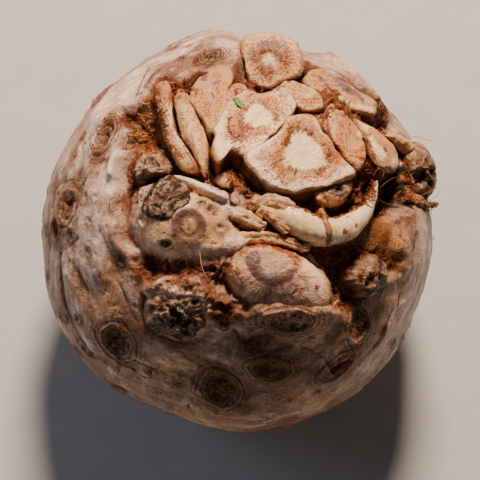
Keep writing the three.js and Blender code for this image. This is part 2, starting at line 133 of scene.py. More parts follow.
# Folds of the body that stand up like a lip: points along, half width, height.
FOLDS = [
    ([(-27, -4), (-20, -6), (-12, -6.4), (-4, -5.2), (2, -3.6)], 4, 1.5),
    ([(-19, 17), (-14, 15.6), (-9.5, 13), (-5.5, 10.6), (-2.5, 8.4)], 1.5, 2.6),
    ([(-15, 19.5), (-10, 17), (-6, 13.8), (-3.2, 11.4)], 0.8, 1.2),
    ([(-38.5, 17), (-37.5, 22), (-33.5, 27), (-28.5, 28.6), (-24.5, 27)], 1.7, 3.4),
    ([(-26.5, -17), (-22, -15.6), (-16.5, -14.6), (-11, -15.6), (-8.5, -18)], 1.6, 0.9),
    ([(-16, 57.5), (-9, 58.5), (-1, 56.5), (2, 52)], 2.2, 1.6),
    ([(29, 56), (36.5, 49.5), (43, 43)], 1.8, 1.6),
    ([(-43, 36), (-47, 22), (-44, 10), (-45, -4), (-42, -14)], 2.6, 0.9),
    ([(-55, -10), (-51, -26), (-44, -38)], 2, 0.6),
    ([(56, 6), (56.5, -8), (53, -22), (46, -36)], 2.4, 0.8),
    ([(-40, -46), (-27, -53), (-10, -57), (8, -57.5), (24, -53)], 2, 0.7),
    ([(-46, 36), (-38, 45), (-27, 53)], 2.2, 1.2),
    ([(-52, -14), (-48, -22), (-45, -30)], 1.6, 0.8),
]

# Creases: points along, half width, depth.
CREASES = [
    ([(-52, 8), (-50, 20), (-46, 30), (-38, 43), (-27, 52), (-12, 58)], 1.3, 0.6),
    ([(-56, -8), (-54, -22), (-47, -36), (-38, -44)], 1.2, 0.5),
    ([(-46, -14), (-43, -24), (-38, -29)], 1.2, 0.4),
    ([(3, 60), (2.5, 52), (0, 48)], 1.4, 2.5),
    ([(53, -14), (50, -30), (42, -42)], 1.2, 0.5),
    ([(-35, -44), (-22, -51), (-6, -56)], 1.1, 0.4),
    ([(-3, 13), (-9, 16.6), (-17, 19.4), (-26, 18), (-34, 13)], 1.3, 3),
    ([(3, -5), (-4, -9), (-12, -10.6), (-20, -10.8), (-28, -10.8)], 1.6, 1),
    ([(-28, -20), (-29, -25), (-26, -31), (-19, -35), (-11, -33), (-8, -27)], 1.2, 1.2),
    ([(-1, 8), (-6, 8.6), (-12, 11.4), (-17, 13.6)], 0.7, 1.2),
    ([(29, -22), (31, -18), (31, -12), (26, -7)], 1.4, 2),
    ([(36, -24), (34, -18), (34, -10)], 1, 1.2),
    ([(1, 23), (4, 17), (8, 12.5), (13, 9.5), (20, 8)], 1.4, 3),
    ([(-2, 4), (2, 0.5), (8, -1)], 1, 2),
    ([(-1, -30), (1, -34), (6, -37.4), (12, -37.6), (17, -35.5)], 0.7, 0.8),
]

# Rootlet scars: u, v, radius along, radius across, turn, depth of the pit, darkness of the pit.
SCARS = [
    (-41.5, 30, 3.7, 5.6, -16, 0.9, 1), (-45, 46, 4.2, 2.6, 45, 0.5, 0.7), (-53.5, 8, 5.4, 5.2, 0, 0.8, 0.8),
    (-58, 1, 4.3, 3.7, 0, 1.1, 1), (-37, -34.5, 5.6, 5.8, 0, 1.3, 1), (-5.5, -49.5, 6, 6.6, 0, 1.5, 1),
    (10, -42.5, 6.4, 3.6, -8, 0.6, 0.75), (15, -26.5, 7.6, 3.8, -6, 0.9, 1.15),
    (38, -29, 4, 5.4, -14, 1.2, 1), (31, -41.5, 6.5, 3.4, 20, 0.25, 0.45),
    (-48.5, 41.5, 3.2, 1.6, -10, 0.2, 0.25), (-49.5, 29, 1.6, 3.4, -38, 0.3, 0.6),
    (-51.5, 24.5, 1.7, 2.4, -20, 0.3, 0.35), (-35.5, -8, 1.5, 2.6, 20, 0.2, 0.7),
    (-37, 8, 1.5, 2.6, 0, 0.3, 0.6), (-51, -38.5, 2, 1.8, 0, 0.4, 0.7), (-17.5, 54, 1.4, 1.1, 0, 1.2, 1.3),
    (-8, 53.6, 3.3, 2.3, 0, 0.6, 1.15), (-19.5, 50, 1.5, 1.3, 0, 0.2, 0.2),
    (-45.5, -6, 1.1, 1.6, 0, 0.3, 0.4), (-42.5, 10, 1.3, 1.4, 0, 0.2, 0.3), (-13.5, 56, 1.6, 1, 0, 0.2, 0.3),
    (46, -31, 1.4, 2, -20, 0.3, 0.6), (50.5, -36, 1.6, 2.2, 0, 0.3, 0.5), (-7.5, 6.2, 1.3, 1.2, 0, 0.2, 1),
    (-10, 7.7, 1.5, 1.2, 0, 0.25, 1.1), (-28, 3, 1.3, 2, 20, 0.3, 0.4), (-20.6, -4, 1.9, 1.3, 0, 0.6, 1.2),
    (-4.7, 0.8, 1.5, 1.3, 0, 0.3, 0.7), (-28, -45, 1.6, 2.2, 30, 0.4, 0.5),
]
RING_SCAR = (-13.5, 1.0)  # the purple ring round a button, on the big lobe
# More scars over the flanks and the back: how many large, how many small; and broken rootlets there.
LARGE_SCARS = 34
SMALL_SCARS = 300
FLANK_ROOTLETS = 60

# Skin lines: brown cracks along points, half width.
SKIN_LINES = [
    ([(-38.5, -8), (-41, -1), (-42.5, 2)], 0.2), ([(-27.5, -21), (-28, -23)], 0.5),
    ([(-56, -6.5), (-55.5, -18.5), (-52.5, -26.5)], 0.6), ([(-50, -12), (-46.5, -18.5)], 0.8),
    ([(-49, -43), (-44.5, -48), (-36, -52)], 0.6),
    ([(-60, 8.5), (-59.5, 13.5), (-56, 15.5), (-51, 16.5)], 0.7),
    ([(-54, -5.5), (-51, -3), (-49, -1.5)], 0.5), ([(-54.5, -4), (-52, -2)], 0.4),
    ([(-28, 50.5), (-30, 46), (-31.5, 42)], 0.7), ([(-34.5, 50.5), (-33, 52), (-29.5, 53)], 0.5),
    ([(-21.5, 52), (-26, 48.5), (-30, 43)], 0.6), ([(-52, 15.5), (-48.5, 12.5)], 0.5),
    ([(-17, 57.5), (-13.5, 58.5)], 0.4), ([(-47, 17), (-50, 14.5)], 0.7),
    ([(49, -25), (45, -33), (41, -38)], 0.4), ([(52, -20), (50, -27)], 0.35),
    ([(-44, -30), (-40, -40), (-30, -47), (-18, -50)], 0.3), ([(-33, -40), (-25, -44)], 0.35),
    ([(-30, -28), (-33, -24), (-36, -16)], 0.3), ([(20, -36), (27, -39), (30, -44)], 0.35),
]

# Colour in particular places of the root end, by channel: u, v, radius along, across, turn, strength.
STAINS = {
    "rust": [
        (2.5, 31.6, 3.2, 2, 30, 1), (0, 28.8, 3.2, 1.8, 0, 1.15), (9.5, 30.5, 0.7, 0.5, 0, 1.6),
        (-12.5, 44, 1.5, 1.3, 0, 1), (8, 43.8, 4.5, 0.9, 0, 0.9), (-24.5, 44, 1.2, 3, 0, 0.8),
        (-20.8, 42, 0.9, 4, 0, 0.9), (-27.5, 28.5, 4, 2.4, 0, 0.9), (-23, 19.5, 2.2, 2.4, 0, 0.7),
        (-32, 17, 3, 2.4, 0, 0.8), (-27.5, 9, 2.6, 1.8, 0, 1.1), (-14.5, 17, 2.6, 0.9, -20, 0.8),
        (-17, 18, 2.6, 0.8, 0, 0.8), (-34, 10, 2.4, 4.4, 0, 0.25), (-16, -15.5, 9, 1.9, 0, 0.45),
        (5.5, -3.6, 3.6, 1.2, 5, 1.2), (12.5, -5, 4, 1.2, -20, 1.2), (18, -8, 3.6, 1.4, -35, 1),
        (-1, -12.5, 1.4, 3, 0, 0.6), (20, -17, 0.6, 0.5, 0, 1.4), (17.5, -18.5, 0.6, 0.6, 0, 1.4),
        (24, -16.6, 0.5, 0.5, 0, 1.2), (30.5, -22, 3, 2.2, 20, 0.8), (45.5, 2, 1.6, 3, 0, 0.5),
        (46, -4, 2.6, 1.6, 0, 0.8), (50.5, -11.5, 1.4, 4, 0, 0.9), (44, 6, 1.2, 3, 0, 0.6),
        (55.5, 2, 1.6, 0.9, -20, 0.9), (56.5, -2.5, 1.4, 0.9, 0, 0.6), (42.5, -22.5, 1.4, 1.4, 0, 0.9),
        (44, -36, 1.4, 2, -20, 0.7), (27.5, -32.5, 1.4, 1.1, 0, 0.9), (23.5, -32.5, 1.8, 1.1, 0, 0.8),
        (5, -36.8, 8, 2.6, 4, 0.85), (33, 0.4, 1.1, 0.7, 30, 1.5), (36.2, 2, 1, 0.7, 40, 1.5),
        (46.5, 26, 0.9, 0.9, 0, 1.5), (0, -26, 9, 4, 0, 0.45), (27, 10.6, 2.4, 1.6, 0, 0.9),
        (53.4, 4, 1.3, 4.4, 0, 0.9), (51.6, -5, 1.2, 5, -8, 0.9),
    ],
    # dark: dark scars, craters and marks, and painted shade in the hollow under the near cut root and in the
    # deep holes on the right.
    "dark": [
        (-2, 31.5, 1.3, 1.6, 0, 1.1), (-23.6, 42, 0.4, 1.6, 0, 1.3), (-22.3, 41, 0.35, 1.4, 0, 1.3),
        (-21.2, 37.2, 0.7, 1.6, 0, 0.9), (15.5, -26.5, 6, 2.6, -6, 1), (7, -33.6, 8, 3, 0, 0.95),
        (-17, -29, 6.5, 4, 0, 1), (1, -20.5, 1.4, 1.4, 0, 1.2), (9.5, -42, 4, 2.4, 0, 0.5),
        (-2.5, -27, 4, 3.6, 0, 0.4), (47.8, 12.6, 4.6, 5.6, 0, 1.9), (33, 0.4, 0.9, 0.6, 30, 1.3),
        (36.2, 2, 0.8, 0.6, 40, 1.3), (49.5, 33.5, 1.6, 2.8, 35, 1.4), (-37, 9, 1.2, 2.4, 0, 0.6),
        (-21, -6.2, 2.6, 0.9, 0, 0.8), (31.6, 12.8, 1.2, 0.8, 0, 1),
    ],
    "matting": [
        (0.5, 25.6, 2.6, 1.3, 0, 0.9), (-6, -14.5, 3, 3, 0, 0.8), (-4, -22, 6, 6, 0, 0.9),
        (-10, -13, 14, 2.4, 0, 0.8), (-14, -15.6, 12, 2.2, 0, 0.85), (33, -20, 4, 3, 0, 0.8),
        (46, -9, 4, 3, 0, 0.7), (-29, 31, 5, 5, 0, 1), (21, -8, 2, 2, 0, 0.4), (-23, 40, 1.6, 4, 0, 0.5),
    ],
    "cork": [
        (46.4, -0.5, 6.4, 10.5, 8, 1.3),
    ],
    "mauve": [
        (20, -15, 5, 5, 0, 0.22), (7, -19.6, 9, 4, 0, 0.8), (1.5, -15, 4, 6, 0, 0.8),
        (13, -15, 19, 12, -20, 0.8), (10.6, 59.8, 5, 1.6, 0, 1.3), (15, 42.5, 2, 1.8, 0, 0.9),
        (-14, 31.5, 0.9, 3.6, 16, 0.9), (-12.4, 26, 0.8, 3.6, 14, 1.1), (31, 12.6, 3.4, 2, 0, 2),
        (-5, 16.5, 1.8, 1.8, 0, 0.7), (26.3, 1, 0.9, 3.6, 8, 0.9), (27.5, 48.4, 2.8, 1.8, -20, 1.2),
        (35, 45.6, 4.8, 1.5, -32, 1.4), (-8, 42.5, 1.5, 3, 10, 0.9), (38.5, 43, 1.6, 0.7, -32, 1),
        (54, 24, 3, 3, 0, 0.5), (-10.5, 48.2, 2.4, 1.5, 20, 1.35), (-6.6, 46.6, 2, 1.5, 0, 1.1),
        (10.5, 8.2, 1.5, 0.6, -18, 0.9), (5.3, 1.7, 1.2, 0.8, -10, 1.2),
    ],
    "cream": [
        (-10, 8, 9, 6, -20, 1.6), (-14, -2.5, 16, 6, 3, 1.5), (-23, 0, 6, 7, 0, 1.1),
        (-8, -60, 20, 7, 0, 0.8), (22, -52, 12, 8, 0, 0.7), (-40, -21, 7, 10, -20, 0.9),
        (-24, -44, 16, 6, 20, 0.7), (24, -30, 9, 5, 0, 0.8), (52, -12, 4, 12, 0, 0.5),
    ],
    # pale: the pale parts of skin and flesh, with painted highlights on the right lobe and on the near cut
    # root's right side.
    "pale": [
        (22.5, 14.6, 8, 1.3, 3, 1.3), (12, 17, 4, 1.4, -40, 0.8), (32, 18, 2.2, 1.5, 0, 1),
        (40.5, 33, 1.6, 2.6, 25, 1.4), (42.5, 28, 1.6, 3, 20, 1.4), (22.5, -11, 2.6, 3.4, 25, 0.8),
        (-13, 13.2, 4.6, 2.6, -20, 1.2), (-2, 55, 4, 2.4, -30, 0.7), (-39, 20, 3, 10, -12, 0.9),
        (-33, 44, 3, 8, -30, 1.1), (-45, 33, 3, 12, -22, 0.9), (-47, 0, 3, 9, 0, 0.7),
        (-16, 57, 6, 2, 20, 0.8), (-42.5, -2, 3.4, 6, 0, 0.7), (36, 52, 10, 2, -38, 0.8),
        (-14, 5.5, 6, 3, 0, 0.5), (58, -10, 3, 12, 0, 0.7), (55, -24, 5, 13, -22, 0.6),
        (5, 39, 3.6, 3.6, 0, 0.5), (21, 43.8, 3.2, 1.6, 0, 0.7),
    ],
}

# Colour that follows a line, by channel: points along, half width, strength.
STROKES = {
    "mauve": [
        ([(5.5, 57), (7.5, 59.6), (11, 60.2), (14, 58.6)], 1.1, 1.2),
        ([(25.2, 5), (26, 1.8), (26.8, -1.4)], 0.9, 1.5), ([(-14.5, 33), (-13, 29), (-12, 25)], 0.8, 1.15),
        ([(32, 47.5), (36, 45.4), (40, 42.6)], 1.4, 1.5),
    ],
    "rust": [
        ([(1, -7), (4, -4.4), (8, -3.8), (13, -4.6), (17, -7)], 1.4, 0.85),
        ([(16, -6), (18, -8.6), (18.2, -12)], 1.5, 0.7),
        ([(4, 44.6), (8, 43.6), (13, 44.6), (17, 47.6)], 0.7, 1),
        ([(-24.6, 46), (-25, 42), (-24, 37), (-22.6, 31)], 0.5, 1),
        ([(44, 9), (42, 3), (43.4, -4), (47, -10)], 0.8, 0.8),
        ([(51.6, 4), (52, -4), (50.8, -12)], 0.7, 0.95), ([(55, 6), (55.6, -1), (54.4, -7)], 0.8, 0.65),
        ([(31, -3.4), (35.5, -1.6)], 0.8, 0.8), ([(10, 9.5), (14, 8.2), (17.4, 5.6)], 0.7, 0.9),
        ([(9, 5.4), (12, 2.2), (15.8, -1.4)], 0.6, 0.9), ([(8, -0.6), (15, -1.4), (20, -3)], 0.7, 0.7),
        ([(-16, 26), (-13.6, 22), (-11, 19.4)], 0.7, 1), ([(-22.6, 33), (-20.6, 27), (-16.4, 22)], 0.5, 0.9),
        ([(38.6, 22.4), (43, 20.4), (49, 19.6)], 1, 1.1), ([(-2.2, 35), (-2.6, 31), (-1.4, 27)], 0.8, 0.9),
        ([(-24, 36), (-22, 29), (-18, 23)], 0.6, 0.9),
    ],
    # dark: painted shade in the creases under the main cut and the big lobe, at the left and lower edges of
    # the bark scab, in the hole at (-1, 9.5) and round the deep hole on the right; dark marks of their own
    # on the left pod and the left cut root.
    "dark": [
        ([(-23.6, 43.5), (-23.2, 40)], 0.4, 1.4), ([(-22.2, 42), (-21.8, 38)], 0.35, 1.2),
        ([(-27.8, 6), (-27.2, 11), (-24.8, 15.2), (-21, 18)], 0.9, 1.3),
        ([(-27.8, 6), (-24.6, 4), (-20.6, 3.4), (-16, 6), (-14.4, 9.4)], 0.9, 1.35),
        ([(1.5, 22.6), (4, 17.2), (8, 12.6), (13, 9.6), (20, 7.6)], 0.9, 1.2),
        ([(-3, 12.4), (-1.6, 9.6), (-0.6, 7)], 1, 1.3), ([(-8, -9.4), (-16, -10.4), (-25, -10)], 1, 0.45),
        ([(51.8, 19), (52, 14), (53, 10)], 0.6, 1.1), ([(52.4, 19.6), (52.8, 13), (54.4, 8)], 1.9, 1.9),
        ([(44.4, 17.4), (48, 17.6), (51.6, 16)], 1.2, 1.1),
        ([(-2.1, 34.4), (-2.5, 31), (-1.8, 28.4)], 0.3, 1.1),
    ],
    "matting": [
        ([(54, 22), (54.2, 14), (55.4, 10)], 1.6, 1.3),
        ([(18, 7.4), (24, 5), (30, 4.6), (36, 6.6), (40.4, 10), (43, 15)], 0.9, 1.1),
        ([(57.6, 9.6), (61, 8.2), (66, 8)], 1.2, 0.9),
        ([(-29, -11), (-24, -12), (-14, -12.4), (-2, -11)], 2.4, 1),
        ([(-9, -15), (-6, -21), (-3.6, -28)], 2.6, 0.9), ([(33, -21), (33, -13), (30, -5)], 2.6, 0.9),
        ([(35, -8), (40, -6.6), (46, -7.4)], 1.6, 0.8), ([(45, 42), (48, 37), (47.5, 31)], 1.8, 0.8),
        ([(-31, 24), (-33, 17), (-30, 10)], 1.8, 0.6),
    ],
    # pale: pale rims, folds and skin, with painted highlights along the ridges of the pods and of the
    # rootlets, on the right lobe and on the near cut root's right side.
    "pale": [
        ([(38.5, 30.5), (42, 27.6), (45.6, 24.4)], 1.3, 1.6),
        ([(-22.4, 42), (-21, 35), (-17.6, 27.6), (-14.4, 23)], 0.9, 1.4),
        ([(-16.4, 39), (-13.8, 31), (-11.6, 24.4)], 1.1, 0.9),
        ([(6.5, 7.8), (10, 9.2), (13.5, 8.2), (17, 6.2)], 1.3, 1.4),
        ([(-3, 6.2), (2, 4.6), (6, 2.6)], 1.3, 1.4), ([(-2, -3.4), (7.5, -2.2), (14.5, -2.8)], 1, 1.2),
        ([(4, 22), (8, 15), (12, 11.6), (20, 9.6), (30, 12.6)], 1.6, 1.2),
        ([(-1, 26), (5, 25.6), (9, 29), (14, 34.6)], 1.5, 1.2),
        ([(-5.6, 36), (-6, 30), (-4.6, 24)], 1.4, 0.4), ([(22, -8.5), (24.6, -13), (24, -19)], 2.6, 1.1),
        ([(45.5, 20), (49, 19.8), (51, 22)], 1.8, 1),
        ([(-19, 17.6), (-13, 15.4), (-8, 12.2), (-4, 9)], 1.6, 1.2),
        ([(-26, -4), (-16, -6.4), (-4, -5)], 1.6, 0.9), ([(33, 42), (38, 39.8), (43, 39.4)], 0.8, 0.7),
    ],
    "cork": [
        ([(44.6, 7), (45.6, 0), (48.4, -9)], 4.4, 1.4), ([(33, -6), (38, -7.4), (43, -7)], 1.6, 0.8),
        ([(14, 10.2), (20, 8.2), (27, 6.6), (33, 7.6), (38, 10)], 1.5, 0.9),
    ],
}

# Cut root stubs: the outline in u and v; rise of the top over the plain body; dome, how much more its
# middle rises; depth of the sides; edge, the radius it is rounded by; core: u, v, two radii, turn, and how
# far it is drawn out to three corners; dots, how many vessels show. Where they aren't the usual ones: grow,
# the outline drawn out to meet its neighbours; slope of the cut, or tip, how far it leans from the body's
# own tangent plane; flare of the sides; the strength of the cut flesh (cut), the strands (ringed), the core
# (bright), the browned rim (rim) and the soil and painted shade down the sides (side_shade_and_soil);
# fringe, how wide the strands are; fine, how many there are; arc, a bruise beside the core: the way it lies
# in degrees, width, strength.
CUT_ROOTS = {
    "main_cut_root": dict(outline=[
        (3.5, 23.5), (5.5, 19.5), (8.5, 16), (12, 13.4), (16.5, 12.4), (21, 13), (25.5, 14), (30, 15.5),
        (35, 17.3), (36, 19.5), (33.5, 22.5), (31, 26), (29, 29.5), (26.5, 32.5), (24, 35.5), (19.5, 36.4),
        (16, 35.2), (13.5, 32), (10, 29), (6.5, 26)],
        rise=3, dome=0.6, depth=14, edge=0.8, core=(20.2, 24.4, 6.5, 6.2, -10, 0.2), dots=1.15, fringe=1.8,
        grow=1.02),
    "left_cut_root": dict(outline=[
        (3, 44), (5.5, 43.5), (8, 43.2), (10.5, 44), (13, 45.3), (15.5, 44), (17, 41.5), (17.5, 38.5),
        (16.3, 36.5), (14.5, 34.5), (12, 31.5), (9.5, 28.5), (6, 26), (3.5, 24.8), (1, 25), (-1, 26),
        (-2.5, 24.5), (-4.5, 22.5), (-6, 26), (-6.5, 30.5), (-5.5, 34), (-3.5, 37.5), (-2, 40), (0.5, 42)],
        rise=2.4, dome=0.6, depth=13, edge=0.8, core=(6.5, 35.6, 4.8, 4.2, 20, 0.1), dots=1.8, ringed=0.8,
        cut=0.84, grow=1.08),
    "bridge_cut_root": dict(outline=[
        (14, 45.5), (16, 47), (19, 47), (22, 46), (24.5, 45), (26.5, 43), (27, 41), (25.5, 39), (22.5, 38.5),
        (19.5, 39), (18, 40), (16, 41.5), (14.3, 43)],
        rise=3, dome=0.7, depth=13, edge=0.8, core=(21.5, 43, 2, 1.1, -12, 0), dots=1.35, grow=1.1,
        bright=0.35, ringed=0.4),
    "button_cut_root": dict(outline=[
        (-2, 45), (-0.5, 46), (2, 46), (3.5, 44), (3, 42), (1, 40.5), (-1.5, 40), (-3, 42)],
        rise=2, dome=0.5, depth=13, edge=0.7, core=(0.5, 43.5, 0.8, 0.7, 0, 0), dots=1.1, grow=1.15),
    "far_cut_root": dict(outline=[
        (1.5, 58.5), (2, 54), (3, 50), (4.5, 47), (8, 45.3), (11, 45.3), (14.5, 46.8), (17.5, 49), (20, 52),
        (20.5, 55.5), (19.5, 59), (17.5, 61.5), (14.5, 63.3), (11, 64.3), (7, 64.3), (3.5, 63), (1.8, 61)],
        rise=5, dome=1, depth=24, slope=(0, -0.45), flare=0.3, edge=1, core=(10.4, 54.6, 3.3, 2.9, 0, 0),
        dots=1.15, ringed=1.35, cut=0.74, fringe=3.2, bright=0.75, side_shade_and_soil=0.6, fine=1.2),
    "wedge_cut_root": dict(outline=[
        (-14, 45.5), (-12.5, 48), (-10, 49.5), (-7.5, 51), (-5, 51.5), (-2.5, 51), (-1.5, 49), (-2, 46.5),
        (-3, 44.5), (-3, 42), (-3.5, 38.5), (-5, 35.5), (-6, 33), (-7.5, 31.5), (-9, 32), (-10, 34),
        (-11.5, 37), (-13, 40), (-14.5, 42.5)],
        rise=2.2, dome=1, depth=13, edge=0.8, core=(-8, 42, 0.8, 1.4, 10, 0), dots=1.7, grow=1.05,
        bright=0.2, ringed=0.6, cut=0.52, fringe=3),
    "under_cut_root": dict(outline=[
        (24.5, 12.5), (27, 14), (32, 15.6), (35.5, 16), (36.5, 13.8), (35, 11), (32.5, 9), (28.5, 8),
        (25.5, 8.6), (24, 10.3)],
        rise=0.6, dome=2, depth=12, edge=1.2, core=(31, 12.8, 1.9, 1.2, 14, 0), dots=0.5, bright=0,
        ringed=0.3, cut=0.6),
    "right_slanting_lobe": dict(outline=[
        (28.5, 42.5), (30.5, 43), (32, 41), (33.5, 38), (35.5, 35.5), (38, 32), (39.5, 28.5), (40.5, 24.5),
        (39.5, 22), (37.5, 21), (35, 22.5), (33, 25), (31, 27.5), (29.5, 31), (29, 35), (28.5, 39)],
        rise=1.6, dome=1.2, depth=12, edge=0.9, core=(36.4, 27.8, 1.8, 2.4, 30, 0), dots=1.5, grow=1.1,
        bright=0.3, ringed=0.3, cut=0.62),
    "small_wedge_lobe": dict(outline=[
        (24, 37), (26, 36.5), (28.3, 35), (29.2, 33), (28.7, 31), (27.5, 31.5), (25.5, 33.5), (24, 35.5)],
        rise=0.4, dome=1, depth=10, edge=0.7, core=(27.3, 34.2, 0.9, 0.8, 0, 0), dots=0.9, grow=1.2,
        bright=0.3, cut=0.7),
    "outer_right_lobe": dict(outline=[
        (37.5, 36), (39.5, 35.3), (42.5, 34), (45.5, 31.8), (48, 29.5), (50.5, 27), (51.5, 24), (51.3, 21),
        (49, 19.2), (46, 19.6), (44, 22.3), (42, 26), (40.5, 29.5), (38.5, 33)],
        rise=2.4, dome=2.6, depth=12, edge=1.6, core=(42, 30, 0.9, 0.9, 0, 0), dots=0.6, bright=0, ringed=0,
        cut=0.55),
    "far_right_lobe": dict(outline=[
        (31, 45), (30.5, 48), (33, 48.5), (36.5, 47), (39.5, 45), (43, 43), (45.5, 41.2), (44.5, 38.7),
        (41, 38.3), (38, 39.3), (34.5, 41), (32, 42.8)],
        rise=3.6, dome=2, depth=12, edge=1.2, core=(36, 45, 1, 0.6, -30, 0), dots=0.6, grow=1.06, bright=0,
        ringed=0.4, cut=0.58, fringe=2),
    "far_oval_cut": dict(outline=[
        (22, 48), (23, 50.5), (25.5, 52), (28, 51.6), (30, 50), (31.5, 47.5), (31, 45), (29, 43.8),
        (26.5, 44.3), (24, 45.7)],
        rise=2.8, dome=1.2, depth=12, edge=0.8, core=(27, 48, 1.5, 1.1, -20, 0), dots=1.2, grow=1.08,
        bright=0.3, cut=0.6, fringe=1.6),
    "near_cut_root": dict(outline=[
        (-3.6, -11), (-1, -7), (1, -4.8), (4, -3.5), (7.5, -3.2), (11.5, -3.8), (16, -5.2), (20, -7.2),
        (23.5, -9.8), (26.5, -12.5), (28.4, -16), (28.8, -20), (27, -23), (23, -25), (18.5, -25.6),
        (13, -25), (7.5, -23.4), (2.6, -21.4), (-1, -18.4), (-3.2, -15)],
        rise=0.7, dome=5, depth=13, edge=2.6, core=(11.2, -9.6, 3.9, 3.4, 0, 0), dots=0.3, rim=0.15,
        bright=0.36, ringed=0.5, cut=0.66, fringe=1.6, tip=(0, -0.06), arc=(245, 2.3, 2.1), side_shade_and_soil=0.2,
        fine=1.3),
}

# Peeled pods and woody knobs: as above, without a core. rough is the height of the broken relief, woody is
# 1 for a flat scab, craters are pits: u, v, width, depth, black is how dark they are, and bulge is how far
# the sides wander.
PODS = {
    "right_pod": dict(outline=[
        (-19.5, 41), (-18.5, 42.8), (-16, 43), (-13.5, 40.5), (-12, 36), (-10, 31.5), (-9.2, 27.5),
        (-9.6, 23.5), (-10.5, 19.5), (-12.5, 22), (-14, 25.5), (-16.5, 28.5), (-17.5, 31.5), (-18.5, 35.5)],
        rise=-0.5, dome=2.6, depth=10, edge=1.4, grow=1.1),
    "left_pod": dict(outline=[
        (-24, 35), (-25, 39), (-25.5, 43), (-24.5, 46), (-22, 46.5), (-20.5, 43), (-20.3, 38), (-19, 31.5),
        (-17.5, 28), (-15, 24.5), (-13, 22), (-13.5, 20.8), (-16.5, 20.6), (-19, 22.5), (-21, 26),
        (-22.7, 29.5)],
        rise=-1, dome=2.6, depth=10, edge=1.4, grow=1.08),
    "round_pebble_root": dict(outline=[
        (-7.5, 16), (-6, 18.5), (-4, 19.5), (-2, 18.5), (-0.5, 16), (-1, 13.5), (-2.5, 11.5), (-4.5, 12),
        (-6, 13.5)],
        rise=-3, dome=2.6, depth=10, edge=1.4),
}
KNOBS = {
    "left_woody_knob": dict(outline=[
        (-32, 21.5), (-30, 24), (-27, 25), (-24, 24), (-22, 22), (-21, 19), (-23, 17), (-26, 16.5),
        (-29.5, 16), (-32, 16.5), (-32.8, 19)],
        rise=-2, dome=3, depth=10, edge=2.4, rough=2.3, craters=[(-25, 19.5, 1.6, 0.6)], black=0.1),
    "bark_scab": dict(outline=[
        (-27.6, 7.6), (-26.6, 11), (-26, 13.6), (-23.4, 16), (-20.6, 17.6), (-17.5, 15.8), (-15.4, 13.4),
        (-14.6, 9.6), (-16.2, 6.5), (-18.6, 4.8), (-21.6, 3.8), (-24.6, 4.6), (-26.6, 5.4)],
        rise=5.4, dome=1.4, depth=8, edge=0.9, rough=1,
        craters=[(-17.6, 12.4, 1.6, 0.3), (-24.6, 6.8, 1.6, 0.3)], woody=1, black=0.15, bulge=0.35),
    "near_left_knob": dict(outline=[
        (-28.5, -25), (-27.5, -21), (-25, -18.5), (-21, -17.5), (-17, -17), (-13, -17.5), (-10, -19.5),
        (-8.5, -22), (-8.5, -25.5), (-9.5, -29), (-12.5, -31.8), (-16.5, -33.4), (-20, -33), (-24, -31.4),
        (-27.5, -28.7)],
        rise=2.2, dome=3.6, depth=13, edge=4.4, rough=1.2, grow=1.1,
        craters=[(-17.5, -27.4, 6, 1.1), (-10.5, -24.5, 2.4, 0.8), (-22.5, -29.5, 3.4, 0.6)]),
    "right_ringed_knob": dict(outline=[
        (35.5, -13.5), (37, -10.2), (40, -8), (43.5, -7.5), (46.8, -9), (48.5, -12.5), (48.3, -16),
        (46.2, -19), (42.5, -20.5), (39, -20.3), (36, -18), (35, -15.5)],
        rise=-1, dome=4.2, depth=11, edge=3.6, rough=1.5, grow=1.04,
        craters=[(46.8, -12, 2.7, 0.4), (45.6, -16.8, 2.8, 0.4), (41.6, -18.8, 1.6, 0.25)]),
    "small_crust_lump": dict(outline=[
        (2, 7.5), (3, 10), (5, 12), (7.5, 12), (9, 10.5), (9.5, 8), (7.5, 6.5), (5.5, 6), (3, 6)],
        rise=-1.6, dome=2.4, depth=10, edge=1.8, rough=1, craters=[(3.2, 8, 1.4, 0.6)], black=0.2,
        peeled=0.6, finish="flesh"),
    "broken_root": dict(outline=[
        (53.6, 22), (54.6, 26.2), (57, 29.2), (60, 29), (63, 26), (65, 21), (65, 15.5), (62.6, 11.4),
        (58.6, 10.6), (55.4, 12.6), (53.6, 17)],
        rise=9, dome=4.4, depth=18, edge=4, rough=0.7,
        craters=[(58.4, 18.2, 2.5, 3.4), (62.4, 19, 1.5, 2.6), (57.4, 14.6, 1.2, 1.4), (61.6, 15.4, 1, 1)],
        slope=(-0.4, -0.15)),
}

